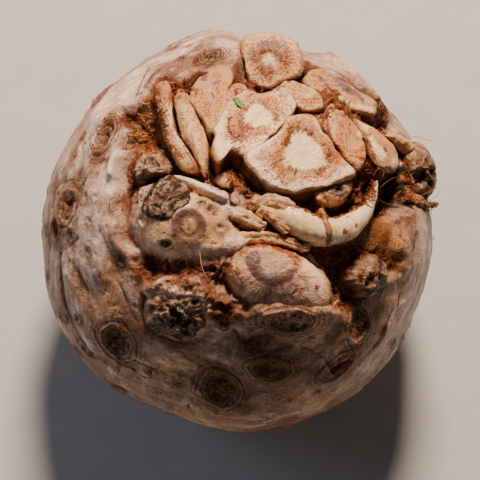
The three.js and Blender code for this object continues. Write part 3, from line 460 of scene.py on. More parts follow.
# Creeping roots: u, v, lift over the plain body and radius along the route; how waxy and how peeled.
RUNNERS = {
    "curled_root": dict(waxy=1, peeled=1, route=[
        (10, 9, -3.4, 2.8), (14.5, 5.4, -1.4, 4.1), (19.5, 2.2, -0.4, 4.6), (24.5, 0.2, -0.1, 4.6),
        (29.5, 0, -0.1, 4.4), (34.5, 1.6, -0.2, 3.8), (38.6, 4.8, -0.2, 2.9), (41.2, 8.4, 0.2, 1.6),
        (42.4, 11.8, 0.7, 0.9), (42.9, 15.5, 1.1, 0.5)]),
    "membrane_band": dict(waxy=0.6, peeled=0.3, below=0.6, route=[
        (25.2, 6.6, 1, 1), (25.6, 3.4, 3.3, 1.2), (26.2, 0.6, 4.1, 1.3), (26.8, -2, 3.5, 1.2),
        (27.3, -3.9, 1.9, 0.9)]),
    "flat_rootlet": dict(route=[
        (6.5, 7.8, -0.6, 2), (10, 9.2, 0.6, 2.5), (13.5, 8.2, 1.2, 2.6), (17, 6.2, 1, 1.8)]),
    "hooked_rootlet": dict(route=[
        (6.4, 4.2, -1.5, 1.3), (8.3, 6.2, 0.4, 1.9), (11.8, 3.6, 1.2, 2.3), (15.6, -0.6, 0.8, 1.5)]),
    "short_finger_root": dict(waxy=0.4, route=[
        (-3, 6.2, -1.4, 2.2), (2, 4.6, 0.4, 2.5), (6, 2.6, 0.8, 2), (8.6, 0.9, 0.6, 1.2)]),
    "long_finger_root": dict(route=[
        (-5, -4.6, -1.6, 2.6), (1, -2.8, -0.6, 2.6), (7.5, -2.2, -0.4, 2.4), (14.5, -2.8, -0.4, 2),
        (19, -4.4, 0, 1.7), (22.4, -5.2, 0.4, 1.7)]),
    "right_nub": dict(waxy=0.6, peeled=0.7, route=[
        (45.8, 31.5, -0.5, 1.5), (48.5, 29.4, 1.4, 1.6), (51.5, 27, 2.4, 1.8), (54, 24.6, 3.4, 1.8)]),
    "frayed_right_stub": dict(peeled=0.1, route=[
        (53.5, 11.5, -1.5, 2.4), (57.5, 9.8, 0.4, 1.8), (60.2, 8.2, 1.6, 1.1), (61.2, 8.6, 3.9, 0.6)]),
}
KEEL = 2.8  # how many radii a creeping root reaches down into the body
CLOSE_UP = 0.55  # how far the body's mesh is drawn together at the root end
LEAF_PLACE, LEAF_TURN, LEAF_SIZE = (0.6, 40.0), math.radians(-48), (2.0, 1.0)

# Steps of the meshes: points round a stub, rings of its rounded edge and its sides, and mm between those of
# its top; points round a creeping root and mm between its rings.
STUB_SIDES, EDGE_RINGS, WALL_RINGS, TOP_STEP = 180, 5, 14, 0.3
RUNNER_SIDES, RUNNER_STEP = 40, 0.35

# Hairs that stand clear of the root: u, v, lift over the plain body at each point.
LOOSE_HAIRS = [
    [(44, 13, 0), (46.5, 15.5, 1.5), (49, 16.5, 2.5), (52, 16, 3), (54, 12.5, 3), (52.5, 10, 2),
     (50, 8.5, 1.5), (46.5, 8.5, 1), (44, 10, 0)],
    [(42, 17, 1), (43, 19, 2.5), (44.5, 18, 3), (44.3, 16.5, 2.5)],
    [(53, 28, 1), (55, 29.5, 3), (57, 29, 5), (59, 28, 7), (60, 28.5, 8)],
    [(56, 11, 2), (57.5, 9.5, 3.5), (59, 10, 5), (60.5, 11.5, 6.5)],
    [(51.5, 10, 1), (55, 10.5, 3), (58, 12, 5.5), (59.5, 13, 7)],
    [(12, -40, 0.6), (17, -40.5, 1.6), (21, -43, 1.8), (25, -47, 1)],
    [(-51, -39, 0.3), (-54, -39, 1.5), (-57, -38.5, 2.5)],
    [(-11, -6, 3), (-10, -11, 4.5), (-8, -15, 4), (-6, -18, 3)],
]

# ---- small mathematics ----


def linear(text):
    """An sRGB hex colour as linear RGBA: c / 12.92 at the dark end, else ((c + 0.055) / 1.055) ** 2.4."""
    parts = [int(text[i:i + 2], 16) / 255 for i in (1, 3, 5)]
    return tuple(c / 12.92 if c <= 0.04045 else ((c + 0.055) / 1.055) ** 2.4 for c in parts) + (1.0,)


def tinted(colour):
    """A hex colour, or one of the user's colours by its name, as linear RGBA."""
    if colour.startswith("#"):
        return linear(colour)
    return (*getattr(bpy.context.scene.celeriac_colours, colour), 1.0)


def smooth(x):
    """3t^2 - 2t^3 with t held between 0 and 1."""
    t = np.clip(x, 0, 1)
    return t * t * (3 - 2 * t)


def bell(x, width):
    """exp(-(x / width)^2)."""
    return np.exp(-((x / width) ** 2))


def unit(vectors):
    return vectors / np.linalg.norm(vectors, axis=-1, keepdims=True)


def curve_through(points, at, closed=False):
    """Catmull-Rom: with f going from P1 to P2, the place is half of
    2P1 + (P2 - P0) f + (2P0 - 5P1 + 4P2 - P3) f^2 + (3P1 - P0 - 3P2 + P3) f^3.
    """
    points = np.asarray(points, float)
    count = len(points)
    first = np.floor(at).astype(int) if closed else np.clip(np.floor(at).astype(int), 0, count - 2)
    f = (at - first)[:, None]
    around = [(first + k) % count if closed else np.clip(first + k, 0, count - 1) for k in (-1, 0, 1, 2)]
    p0, p1, p2, p3 = (points[i] for i in around)
    square, cube = 2 * p0 - 5 * p1 + 4 * p2 - p3, 3 * p1 - p0 - 3 * p2 + p3
    return 0.5 * (2 * p1 + (p2 - p0) * f + square * f**2 + cube * f**3)


def lattice(cell, seed):
    """A repeatable value from -1 to 1 for each integer cell, by mixing the bits of its three numbers."""
    x, y, z = (cell[..., i].astype(np.uint32) for i in range(3))
    mixed = x * np.uint32(73856093) ^ y * np.uint32(19349663) ^ z * np.uint32(83492791)
    mixed = mixed ^ np.uint32(seed * 7919 + 17)
    mixed = (mixed ^ (mixed >> np.uint32(13))) * np.uint32(1274126177)
    mixed = (mixed ^ (mixed >> np.uint32(16))) * np.uint32(2246822519)
    return (mixed ^ (mixed >> np.uint32(15))) / 2147483647.5 - 1


def noise(points, size, seed=0, octaves=1):
    """Smoothly joined lattice values, size mm apart; each further octave is half as big and half as high."""
    total = np.zeros(points.shape[:-1])
    for octave in range(octaves):
        place = points / (size / 2**octave)
        cell = np.floor(place).astype(np.int64)
        f = smooth(place - cell)
        for corner in range(8):
            bits = np.array([corner & 1, corner >> 1 & 1, corner >> 2 & 1])
            share = np.prod(np.where(bits, f, 1 - f), axis=-1)
            total += share * lattice(cell + bits, seed + octave) / 2**octave
    return total


def in_ellipse(x, y, along, across, degrees):
    """Distance from the middle of a turned ellipse, 1 on its rim."""
    turn = math.radians(degrees)
    a = (x * math.cos(turn) + y * math.sin(turn)) / along
    b = (y * math.cos(turn) - x * math.sin(turn)) / across
    return np.hypot(a, b)


def to_line(x, y, points, closed=False):
    """Distance from (x, y) to the nearest stretch of a polyline."""
    best = np.full(np.shape(x), np.inf)
    ends = points[1:] + points[:1] if closed else points[1:]
    for (ax, ay), (bx, by) in zip(points, ends):
        along = ((x - ax) * (bx - ax) + (y - ay) * (by - ay)) / ((bx - ax) ** 2 + (by - ay) ** 2)
        t = np.clip(along, 0, 1)
        best = np.minimum(best, np.hypot(x - ax - t * (bx - ax), y - ay - t * (by - ay)))
    return best


def inside(x, y, points):
    """True where a ray from (x, y) crosses the closed outline an odd number of times."""
    odd = np.zeros(np.shape(x), bool)
    for (ax, ay), (bx, by) in zip(points, points[1:] + points[:1]):
        if ay != by:
            odd ^= ((ay > y) != (by > y)) & (x < ax + (y - ay) * (bx - ax) / (by - ay))
    return odd


def half_axes():
    """The plain body's half axes, in mm."""
    sizes = bpy.context.scene.celeriac_sizes
    return np.array([sizes.half_width, sizes.half_depth, sizes.half_height]) / MM


def body_middle():
    """The middle of the plain body over the floor, in mm."""
    return np.array([*PLAN_SHIFT, bpy.context.scene.celeriac_sizes.centre_height / MM])


def plain_front(u, v):
    """The plain ellipsoid's front over (u, v): its point and outward normal, from its middle.

    p = uU + vV + wW with |p / axes| = 1, so w is the larger root of a square equation. Past the rim the
    place is drawn in to just inside it.
    """
    axes = half_axes()
    across = (np.multiply.outer(u, U) + np.multiply.outer(v, V)) / axes
    ahead = W / axes
    slide = across @ ahead
    steep = ahead @ ahead
    nearest = (across**2).sum(-1) - slide**2 / steep
    draw = np.minimum(1, np.sqrt(0.97 / np.maximum(nearest, 1e-9)))[..., None]
    across = across * draw
    slide = across @ ahead
    w = (-slide + np.sqrt(np.maximum(slide**2 - steep * ((across**2).sum(-1) - 1), 0))) / steep
    place = across + w[..., None] * ahead
    return place * axes, unit(place / axes)


# ---- the swollen body ----


def scar_places():
    """The named scars, then a golden-angle spiral of large ones and a seeded scatter of small ones behind.

    A small scar's numbers are drawn before its place is tested, so leaving one out keeps the rest.
    """
    axes = half_axes()
    found = []
    for u, v, along, across, turn, depth, dark in SCARS:
        point, normal = plain_front(np.array([float(u)]), np.array([float(v)]))
        found.append((point[0], normal[0], along, across, turn, depth, dark))
    rng = np.random.default_rng(7)
    for i in range(LARGE_SCARS):
        height = 0.62 - 1.2 * (i + 0.5) / LARGE_SCARS
        round_ = i * math.pi * (3 - math.sqrt(5))
        flat = math.sqrt(1 - height * height)
        place = np.array([flat * math.cos(round_), flat * math.sin(round_), height])
        along = 3.2 + 3.0 * (0.5 + 0.5 * math.sin(i * 2.4))
        across = along * (0.6 + 0.3 * math.cos(i * 1.7))
        normal = unit(place / axes)
        if normal @ W < 0.12:
            dark = 0.55 + 0.4 * math.sin(i * 5.3)
            turn = 40 * math.sin(i * 3.1)
            found.append((place * axes, normal, along, across, turn, 0.5 + 0.6 * dark, dark))
    for place in unit(rng.normal(size=(SMALL_SCARS, 3))):
        normal = unit(place / axes)
        along = rng.uniform(0.6, 1.9)
        spec = (place * axes, normal, along, along * rng.uniform(0.5, 1.3), rng.uniform(-60, 60),
                rng.uniform(0.1, 0.35), rng.uniform(0.05, 0.6))
        u, v = (place * axes) @ U, (place * axes) @ V
        if normal @ W < 0.1 or u < -40 or v < -36 or to_line(u, v, [(-40, 30), (-18, 56)]) < 6:
            found.append(spec)
    return found


def stain_channels(points):
    """What the tables put on points of the front: a stain falls off as exp(-r^2.4), a stroke as a bell."""
    u, v = points @ U, points @ V
    front = smooth(points @ W / 12)
    ragged_u = u + 0.8 * noise(points, 2.0, 61, 2) + 0.5 * noise(points, 0.9, 63)
    ragged_v = v + 0.8 * noise(points, 2.0, 67, 2) + 0.5 * noise(points, 0.9, 69)
    channels = {channel: np.zeros(u.shape) for channel in {**STAINS, **STROKES}}
    for channel, stains in STAINS.items():
        for su, sv, along, across, turn, strength in stains:
            r = in_ellipse(ragged_u - su, ragged_v - sv, along, across, turn)
            channels[channel] = np.maximum(channels[channel], strength * np.exp(-(r**2.4)) * front)
    for channel, strokes in STROKES.items():
        for line, half, strength in strokes:
            stroke = strength * bell(to_line(ragged_u, ragged_v, line), half) * front
            channels[channel] = np.maximum(channels[channel], stroke)
    return channels


def body_points(cells, close_up):
    """The vertices and quads of a cube blown up into a ball and slid towards the root end.

    Each lattice place c of the cube becomes tan(c * 45 deg), is made a unit vector, and goes through the
    sphere's Moebius slide about W: side = 2k s, ahead = ((1 + c) - k^2 (1 - c)), over (1 + c) + k^2 (1 - c).
    """
    steps = np.arange(cells + 1)
    a, b = (grid.ravel() for grid in np.meshgrid(steps, steps, indexing="ij"))
    corner = np.arange(cells * (cells + 1)).reshape(cells, cells + 1)[:, :-1].ravel()
    quad = np.stack([corner, corner + cells + 1, corner + cells + 2, corner + 1], -1)
    places, quads = [], []
    for axis in range(3):
        for level in (0, cells):
            place = np.zeros((len(a), 3), int)
            place[:, axis] = level
            place[:, (axis + 1) % 3] = a
            place[:, (axis + 2) % 3] = b
            quads.append((quad if level else quad[:, ::-1]) + len(a) * len(places))
            places.append(place)
    places = np.concatenate(places)
    key = (places[:, 0] * (cells + 1) + places[:, 1]) * (cells + 1) + places[:, 2]
    _, first, same = np.unique(key, return_index=True, return_inverse=True)
    right, up, out = unit(np.tan((places[first] / cells * 2 - 1) * math.pi / 4)).T
    whole = 1 + out + close_up**2 * (1 - out)
    side = 2 * close_up / whole
    ahead = (1 + out - close_up**2 * (1 - out)) / whole
    ball = np.multiply.outer(right * side, U) + np.multiply.outer(up * side, V) + np.multiply.outer(ahead, W)
    return ball, same.ravel()[np.concatenate(quads)]


def body_relief(place, normal):
    """How far the skin stands out of the plain ellipsoid, in mm, and the channels that colour it."""
    out = sum(height * np.sin(place @ np.array([kx, ky, kz]) + phase) for kx, ky, kz, phase, height in WAVES)

    # Leaf-base collars: rings that wave round the crown and die out upwards.
    above = np.maximum(place[:, 2] + body_middle()[2], 0)
    round_ = np.arctan2(place[:, 1], place[:, 0])
    wander = 0.9 * np.sin(9 * round_)
    ring = np.cos(2 * math.pi * above / COLLAR_SPACING + wander + 0.5 * noise(place, 14, 3))
    out += 1.3 * np.exp(-above / 12) * ring
    collar = np.exp(-above / 9)
    seam = collar * smooth((-ring - 0.55) / 0.4)

    # Wrinkles run round the root end: noise whose place moves 60 mm for each radian away from W, but only
    # 22 mm for each radian round it, so its cells are nearly three times as long round W as across.
    away = unit(place)
    polar = np.arccos(np.clip(away @ W, -1, 1))
    round_w = unit(away - (away @ W)[:, None] * W + 1e-9)
    flow = 60 * polar[:, None] * W + 22 * np.minimum(1, polar / 0.4)[:, None] * round_w
    folds = noise(flow, 5.2, 51, 2)
    wisps = noise(flow, 1.7, 53, 2)
    lumps = noise(place, 7.5, 11, 2)
    out += 0.26 * folds + 0.1 * wisps + 0.4 * lumps + 0.16 * noise(place, 2.4, 13, 2)
    crest = folds + 0.45 * lumps + 0.5 * wisps
    crack = bell(noise(flow, 4.2, 17, 3), 0.04) * smooth((noise(place, 17, 19) - 0.02) / 0.3)
    out -= 0.2 * crack
    ring_mark = 0.8 * crack + 0.7 * seam

    # Each scar is a pit with two low lips round it; scar_r is the distance to the nearest, in its radii.
    pit = np.zeros(len(place))
    scar_r, scar_mark = np.full(len(place), 4.0), np.zeros(len(place))
    rough = noise(place, 1.5, 23, 2)
    for point, facing, along, across, turn, depth, dark in scar_places():
        away = place - point
        near = np.flatnonzero((away**2).sum(-1) < (2.5 * max(along, across)) ** 2)
        if not len(near):
            continue
        sideways = U if abs(U @ facing) < 0.95 else V
        right = unit(sideways - facing * (sideways @ facing))
        up = np.cross(facing, right)
        wobble = 0.11 * noise(place[near], 3.2, 29, 2)
        r = in_ellipse(away[near] @ right, away[near] @ up, along, across, turn) + wobble
        size = min(1.0, min(along, across) / 3)
        lip = bell(r - 1.05, 0.2) + 0.4 * bell(r - 1.5, 0.16)
        floor = smooth((0.95 - r) / 0.35)
        bowl = size * (0.9 * rough[near] + 0.35 * np.cos(11 * r)) - 1.3 * depth * (0.7 + 0.3 * smooth(1 - r))
        out[near] += size * 0.85 * lip + floor * bowl
        closer = near[r < scar_r[near]]
        scar_mark[closer] = min(1.0, min(along, across) / 1.3) * (0.5 + 0.5 * dark)
        scar_r[near] = np.minimum(scar_r[near], r)
        pit[near] = np.maximum(pit[near], dark * smooth((1.02 - r) / 0.25))
        crest[near] -= 0.6 * size * bell(r - 1.2, 0.5)

    # The root end: its sunken floor, and what swells, folds and creases it.
    channels = stain_channels(place)
    facing = smooth((normal @ W + 0.05) / 0.2)
    front = np.flatnonzero(facing > 0)
    u, v = place[front] @ U, place[front] @ V
    edge = to_line(u, v, FLOOR_OUTLINE, closed=True) * np.where(inside(u, v, FLOOR_OUTLINE), 1, -1)
    edge += 1.8 * noise(place[front], 6, 31, 2)
    low = smooth(0.5 + edge / FLOOR_EDGE)
    change = -FLOOR_DEPTH * low
    risen = np.zeros(len(front))
    for mounds, bare in ((SWELLS, True), (FILLS, False)):
        for su, sv, along, across, turn, rise in mounds:
            mound = rise * np.exp(-(in_ellipse(u - su, v - sv, along, across, turn) ** 2.6))
            change += mound
            risen += bare * np.maximum(mound, 0)
    bent_u, bent_v = u + 1.0 * noise(place[front], 7, 37), v + 1.0 * noise(place[front], 7, 41)
    for along, half, height in FOLDS:
        fold = height * bell(to_line(bent_u, bent_v, along), half)
        change += fold
        risen += fold
        crest[front] += 0.3 * fold / height
    cut = np.zeros(len(front))
    for along, half, depth in CREASES:
        crease = bell(to_line(bent_u, bent_v, along), half)
        change -= depth * crease
        cut = np.maximum(cut, crease * min(1, depth / 3))
    # Fibre mats the floor where nothing has risen out of it, and its creases.
    matting = np.maximum(low * smooth(1.25 - risen / 2.4), low * cut)
    matting = np.maximum(matting, channels["matting"][front])
    tangle = np.abs(noise(place[front], 2.4, 43, 2)) + 0.5 * np.abs(noise(place[front], 1.1, 45, 2))
    change += matting * (1.1 - 3.4 * tangle + 0.6 * noise(place[front], 5, 47))
    for along, half in SKIN_LINES:
        line = bell(to_line(bent_u, bent_v, along), half)
        change -= 0.3 * line
        ring_mark[front] = np.maximum(ring_mark[front], 0.62 * line * facing[front])
    r = np.hypot(u - RING_SCAR[0], v - RING_SCAR[1])
    change += 0.5 * bell(r - 4.8, 1.2) - 0.35 * bell(r - 2.8, 0.8)
    out[front] += facing[front] * change
    ring_scar = 1.75 * bell(r - 3.5, 1.5) + 0.75 * bell(r, 1.2)
    channels["mauve"][front] = np.maximum(channels["mauve"][front], ring_scar)
    channels["matting"][front] = matting * facing[front]
    channels.update(ring=ring_mark, pit=pit, collar=collar, crest=crest, flow=flow, scar_r=scar_r,
                    scar_mark=scar_mark)
    return out, channels


# ---- cut roots, pods and knobs ----


def stub_grid(spec):
    """A root stub as rings of points, from the middle of its top over the edge and down its sides.

    The rim is a Catmull-Rom curve through the outline. A ring at share s of the rim's radius lies on the
    plane of the cut, raised by rise + dome (1 - s^2); the edge is a quarter circle; the sides go straight
    in along the cut's axis and flare a little. Grow makes the outline overlap its neighbours.
    """
    outline = np.array(spec["outline"], float)
    x, y = outline.T
    if (x * np.roll(y, -1) - np.roll(x, -1) * y).sum() < 0:
        outline = outline[::-1]
    at = np.arange(0, len(outline), 0.02)
    dense = curve_through(outline, at, closed=True)
    run = np.concatenate([[0], np.cumsum(np.linalg.norm(np.roll(dense, -1, 0) - dense, axis=1))])
    even = np.interp(np.arange(STUB_SIDES) / STUB_SIDES * run[-1], run, np.arange(len(run)) * 0.02)
    rim = curve_through(outline, even % len(outline), closed=True)
    middle = np.array(spec["outline"], float).mean(0)
    rim = middle + (rim - middle) * spec.get("grow", 1.0)
    radius = np.linalg.norm(rim - middle, axis=1).mean()

    edge = spec["edge"]
    turn = np.linspace(0, math.pi / 2, EDGE_RINGS + 1)[1:]
    flat = np.linspace(0, 1, max(8, int(radius / TOP_STEP))) * (1 - edge / radius)
    share = np.concatenate([flat, 1 - edge / radius * (1 - np.sin(turn)), np.ones(WALL_RINGS), [0.6, 0.0]])
    depth = spec["depth"]
    walls = edge + (depth - edge) * (np.arange(1, WALL_RINGS + 1) / WALL_RINGS) ** 1.3
    drop = np.concatenate([np.zeros(len(flat)), edge * (1 - np.cos(turn)), walls, [depth, depth]])

    start, normal = (a[0] for a in plain_front(middle[:1], middle[1:]))
    slope = spec.get("slope") or (-(normal @ U) / (normal @ W), -(normal @ V) / (normal @ W))
    tip = spec.get("tip", (0, 0))
    slope = (slope[0] + tip[0], slope[1] + tip[1])
    axis = unit(W - slope[0] * U - slope[1] * V)
    reach = share * (1 + spec.get("flare", 0.06) * drop / depth)
    du = reach[:, None] * (rim[:, 0] - middle[0])
    dv = reach[:, None] * (rim[:, 1] - middle[1])
    lift = spec["rise"] + spec["dome"] * (1 - np.minimum(share, 1) ** 2)
    points = start + du[..., None] * U + dv[..., None] * V
    points += (du * slope[0] + dv * slope[1] + lift[:, None])[..., None] * W - drop[:, None, None] * axis
    return points, share[:, None] + 0 * du, drop[:, None] + 0 * du, axis


def sunk(points, share, drop, axis, heights, bulges):
    """Moves the top along the axis by heights and the sides outward from the axis by bulges."""
    top = smooth(1.4 - drop / 1.2)
    outward = points - points.mean((0, 1))
    outward = outward - (outward @ axis)[..., None] * axis
    outward = outward / np.maximum(np.linalg.norm(outward, axis=-1, keepdims=True), 1e-6)
    side = smooth((share - 0.75) / 0.25) * (share <= 1)
    return points + (heights * top)[..., None] * axis + (bulges * side)[..., None] * outward


def cut_root(spec, seed):
    """A cut root's points and channels.

    The pattern of the cut follows the core: r is the distance from it in core radii, drawn out to three
    soft corners by cos(3 angle), and past is the distance outside it in mm. The core fades from r = 0.65 to
    1.25, strands ring it 0.4 mm outside, and vessel dots start beside them and thin out from 3 mm on.
    """
    points, share, drop, axis = stub_grid(spec)
    core_u, core_v, along, across, turn, corner = spec["core"]
    ragged = points + 0.5 * noise(points, 3, seed + 70, 2)[..., None]
    x, y = ragged @ U - core_u, ragged @ V - core_v
    angle = np.arctan2(y, x)
    r = in_ellipse(x, y, along, across, turn) * (1 - corner * np.cos(3 * (angle - math.radians(96))))
    r = r * (1 + 0.12 * noise(points, 5, seed + 71, 2))
    mean = math.sqrt(along * across)
    past = (r - 1) * mean
    top = smooth(1.25 - drop / max(0.5, 0.5 * spec["edge"]))
    rim = smooth((share - 0.92) / 0.08) * spec.get("rim", 1.0)
    near_rim = smooth((share - 0.75) / 0.25)
    patchy = noise(points, 4.2, seed + 74, 2)
    channels = stain_channels(points)
    heights = -0.4 * bell(r, 1.0) + 0.25 * bell(r - 1.35, 0.3)
    heights += 0.32 * noise(points, 5, seed + 72, 2) + 0.14 * noise(points, 1.5, seed + 75) - 0.3 * rim
    heights -= 0.9 * np.minimum(channels["dark"], 1) + 0.15 * np.minimum(channels["rust"], 1)
    bulges = 0.9 * noise(points, 4.5, seed + 73, 2) + 0.25 * noise(points, 1.6, seed + 76)
    points = sunk(points, share, drop, axis, heights, bulges)
    circle = (mean + 1.0) * spec.get("fine", 1.0)
    strand = bell(past - 0.4, spec.get("fringe", 0.15 * mean + 0.5))
    dotted = smooth((r - 1.02) / 0.2) * bell(np.maximum(past - 3.0, 0), 4.2)
    if "arc" in spec:
        towards, width, strength = spec["arc"]
        lower = smooth(0.62 + 0.8 * np.cos(angle - math.radians(towards)))
        arc = strength * lower * bell(past - 1.8, width) * top
        channels["mauve"] = np.maximum(channels["mauve"], arc)
    cut = spec.get("cut", 1.0)
    channels.update(
        cut=top * cut,
        core=smooth((1.25 - r) / 0.6) * top * min(1, mean / 2) * spec.get("bright", 1.0),
        strand=strand * top * (0.75 + 0.5 * patchy) * spec.get("ringed", 1.0),
        dotted=np.minimum(0.88, dotted * spec["dots"] * (0.8 + 0.8 * patchy)) * top * (1 - 0.4 * near_rim),
        outer=smooth((past - 1.6) / 3.4) * top * cut,
        rim=rim * top,
        rays=np.stack([circle * np.cos(angle), circle * np.sin(angle), past], -1),
        # Darker down the sides: soil and painted shade.
        below=smooth((drop - 0.3) / 2.5) * spec.get("side_shade_and_soil", 1.0),
    )
    return points, channels


def pod(spec, seed):
    """A peeled pod: a smooth long dome with long low wrinkles, and a rough upper end."""
    points, share, drop, axis = stub_grid(spec)
    grooves = noise(points * np.array([1.0, 0.3, 0.3]), 1.3, seed + 83, 2)
    heights = 0.2 * noise(points, 3, seed + 80, 2) + 0.22 * grooves
    rough_end = smooth((points @ V - 37) / 5)
    heights += rough_end * noise(points, 1.7, seed + 82, 2)
    bulges = 0.4 * noise(points, 4, seed + 81) + 0.15 * grooves
    points = sunk(points, share, drop, axis, heights, bulges)
    channels = stain_channels(points)
    channels["rust"] = np.maximum(channels["rust"], 0.4 * rough_end)
    channels.update(
        peeled=smooth((4.5 - drop) / 3) * (1 - 0.6 * rough_end),
        # Darker down the sides: soil and painted shade.
        below=smooth((drop - 1.2) / 3),
        waxy=0.3 * (1 - rough_end),
    )
    return points, channels


def knob(spec, seed):
    """A woody knob: a dome broken up by three sizes of noise, with pitted craters.

    A scab is flatter instead, with grain that runs slantwise over it and short cracks along the grain.
    """
    points, share, drop, axis = stub_grid(spec)
    u, v = points @ U, points @ V
    rough, woody = spec["rough"], spec.get("woody", 0.0)
    grain = noise(points, 1.0, seed + 92, 2)
    shards = noise(points, 1.5, seed + 98, 2)
    ridges = 1 - 2.4 * np.abs(noise(points, 3.2, seed + 91, 2))
    lain = np.stack([(u + v) * 0.35, (v - u) * 1.1, points @ W], -1)
    slats = noise(lain, 1.5, seed + 95, 3)
    cracks = bell(noise(lain, 2.6, seed + 96, 3), 0.06) * woody
    crumbs = noise(points, 2.2, seed + 97, 3)
    heights = rough * (1 - woody) * (0.5 * noise(points, 4, seed + 90, 2) + 0.35 * ridges + 0.24 * grain)
    heights += woody * (0.2 * slats + 0.34 * crumbs) - 0.3 * cracks
    bulges = rough * (spec.get("bulge", 0.6) * noise(points, 3, seed + 93, 2) + 0.2 * grain)
    crater = 0 * share
    for cu, cv, width, deep in spec["craters"]:
        r = np.hypot(u - cu, v - cv) / width + 0.35 * noise(points, 2.2, seed + 94, 2)
        bowl = smooth((1.2 - r) / 0.5)
        heights -= deep * bowl * (1 + 0.4 * grain + 0.6 * shards) * (crater < 0.5)
        heights += 0.25 * bell(r - 1.25, 0.2)
        crater = np.maximum(crater, bowl)
    points = sunk(points, share, drop, axis, heights, bulges)
    channels = stain_channels(points)
    channels.update(
        crater=crater * (drop < 3) * spec.get("black", 1.0) * smooth(0.95 - 0.7 * shards),
        crest=(1 - woody) * ridges + woody * (0.6 * slats + crumbs + 0.2) - 1.2 * cracks,
        woody=woody,
        peeled=spec.get("peeled", 0.0),
        # Darker down the sides: soil and painted shade.
        below=smooth((drop - 1.0) / 3),
    )
    return points, channels


def runner(route, blunt):
    """A root that creeps over the body: a section that is round above and a deep keel below.

    Centres follow a Catmull-Rom curve through points lifted off the plain body; the radius is linear
    between them and closes as sqrt(1 - (1 - d / (blunt r))^2) at a distance d from either end.
    """
    start, normals = plain_front(route[:, 0], route[:, 1])
    centres = start + route[:, 2:3] * normals
    span = len(route) - 1
    length = np.linalg.norm(np.diff(centres, axis=0), axis=1).sum()
    rings = max(30, int(length / RUNNER_STEP))
    at = span * (0.5 - 0.5 * np.cos(np.linspace(0, math.pi, rings)))
    middle = curve_through(centres, at)
    tangent = unit(np.gradient(middle, axis=0))
    normal = curve_through(normals, at)
    side = unit(np.cross(tangent, normal))
    up = np.cross(side, tangent)
    radius = np.interp(at, np.arange(span + 1), route[:, 3])
    run = np.concatenate([[0], np.cumsum(np.linalg.norm(np.diff(middle, axis=0), axis=1))])
    to_end = np.minimum(1, np.minimum(run, run[-1] - run) / (blunt * radius))
    section = radius * np.sqrt(1 - (1 - to_end) ** 2)
    round_ = np.arange(RUNNER_SIDES) / RUNNER_SIDES * 2 * math.pi
    down = np.where(np.sin(round_) < 0, KEEL, 1.0)
    points = middle[:, None] + section[:, None, None] * (
        np.cos(round_)[:, None] * side[:, None] + (np.sin(round_) * down)[:, None] * up[:, None])
    out = unit(np.cos(round_)[:, None] * side[:, None] + np.sin(round_)[:, None] * up[:, None])
    return points, out, (run / run[-1])[:, None] + 0 * points[..., 0], np.sin(round_) + 0 * points[..., 0]


def creeping_root(spec, seed):
    """The peeled crescent is smooth and waxy; the rootlets are flattened, faceted bark with broken ends."""
    waxy = spec.get("waxy", 0.2)
    route = np.array(spec["route"], float)
    points, out, along, top = runner(route, blunt=1.0 if waxy > 0.5 else 0.45)
    size = route[:, 3].mean()
    if waxy == 1:
        shift = 0.09 * size * noise(points, 1.7 * size, seed + 100, 2)
        shift += 0.1 * noise(points, 1.8, seed + 101, 2)
    else:
        facets = 0.5 - np.abs(noise(points, 1.5 * size, seed + 100, 2))
        broken = smooth((np.abs(along - 0.5) - 0.36) / 0.1) * (waxy < 0.5)
        shift = size * (0.4 * facets - 0.16) + (0.2 + 0.4 * broken) * noise(points, 1.1, seed + 101, 2)
        shift -= 0.3 * size * smooth((top - 0.6) / 0.4) * (waxy < 0.5)
    channels = stain_channels(points)
    channels.update(
        # Darker on the underside: soil and painted shade, unless the route's table gives its own share.
        below=spec.get("below", smooth((-0.1 - top) / 0.6)),
        peeled=spec.get("peeled", 0.75),
        waxy=waxy,
    )
    return points + shift[..., None] * out, channels


# ---- meshes ----


def standing(points):
    """From the middle of the plain body to the row's frame, in metres, with nothing below the floor."""
    moved = points + body_middle()
    moved[..., 2] = np.maximum(moved[..., 2], 0)
    return moved * MM


def mesh_object(name, vertices, polygons, material, channels=None):
    """An object at the origin from vertices in metres, lists of equal-sided faces, and point attributes."""
    mesh = bpy.data.meshes.new(name)
    mesh.vertices.add(len(vertices))
    mesh.vertices.foreach_set("co", np.ascontiguousarray(vertices, np.float32).ravel())
    loops = np.concatenate([faces.ravel() for faces in polygons])
    sizes = np.concatenate([np.full(len(faces), faces.shape[1]) for faces in polygons])
    mesh.loops.add(len(loops))
    mesh.loops.foreach_set("vertex_index", loops.astype(np.int32))
    mesh.polygons.add(len(sizes))
    mesh.polygons.foreach_set("loop_start", np.concatenate([[0], np.cumsum(sizes)[:-1]]).astype(np.int32))
    mesh.polygons.foreach_set("use_smooth", np.ones(len(sizes), bool))
    for channel, values in (channels or {}).items():
        values = np.asarray(values, np.float32)
        kind, field = ("FLOAT_VECTOR", "vector") if values.size == 3 * len(vertices) else ("FLOAT", "value")
        mesh.attributes.new(channel, kind, "POINT").data.foreach_set(field, values.ravel())
    mesh.update(calc_edges=True)
    mesh.validate()
    made = bpy.data.objects.new(name, mesh)
    bpy.context.collection.objects.link(made)
    mesh.materials.append(material)
    return made


def part_of_root(made):
    """Makes a piece part of the root: it rides on the one body, and the one node that it stands for is
    hidden.
    """
    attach(made, BODY)
    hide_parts(NODE)
    return made


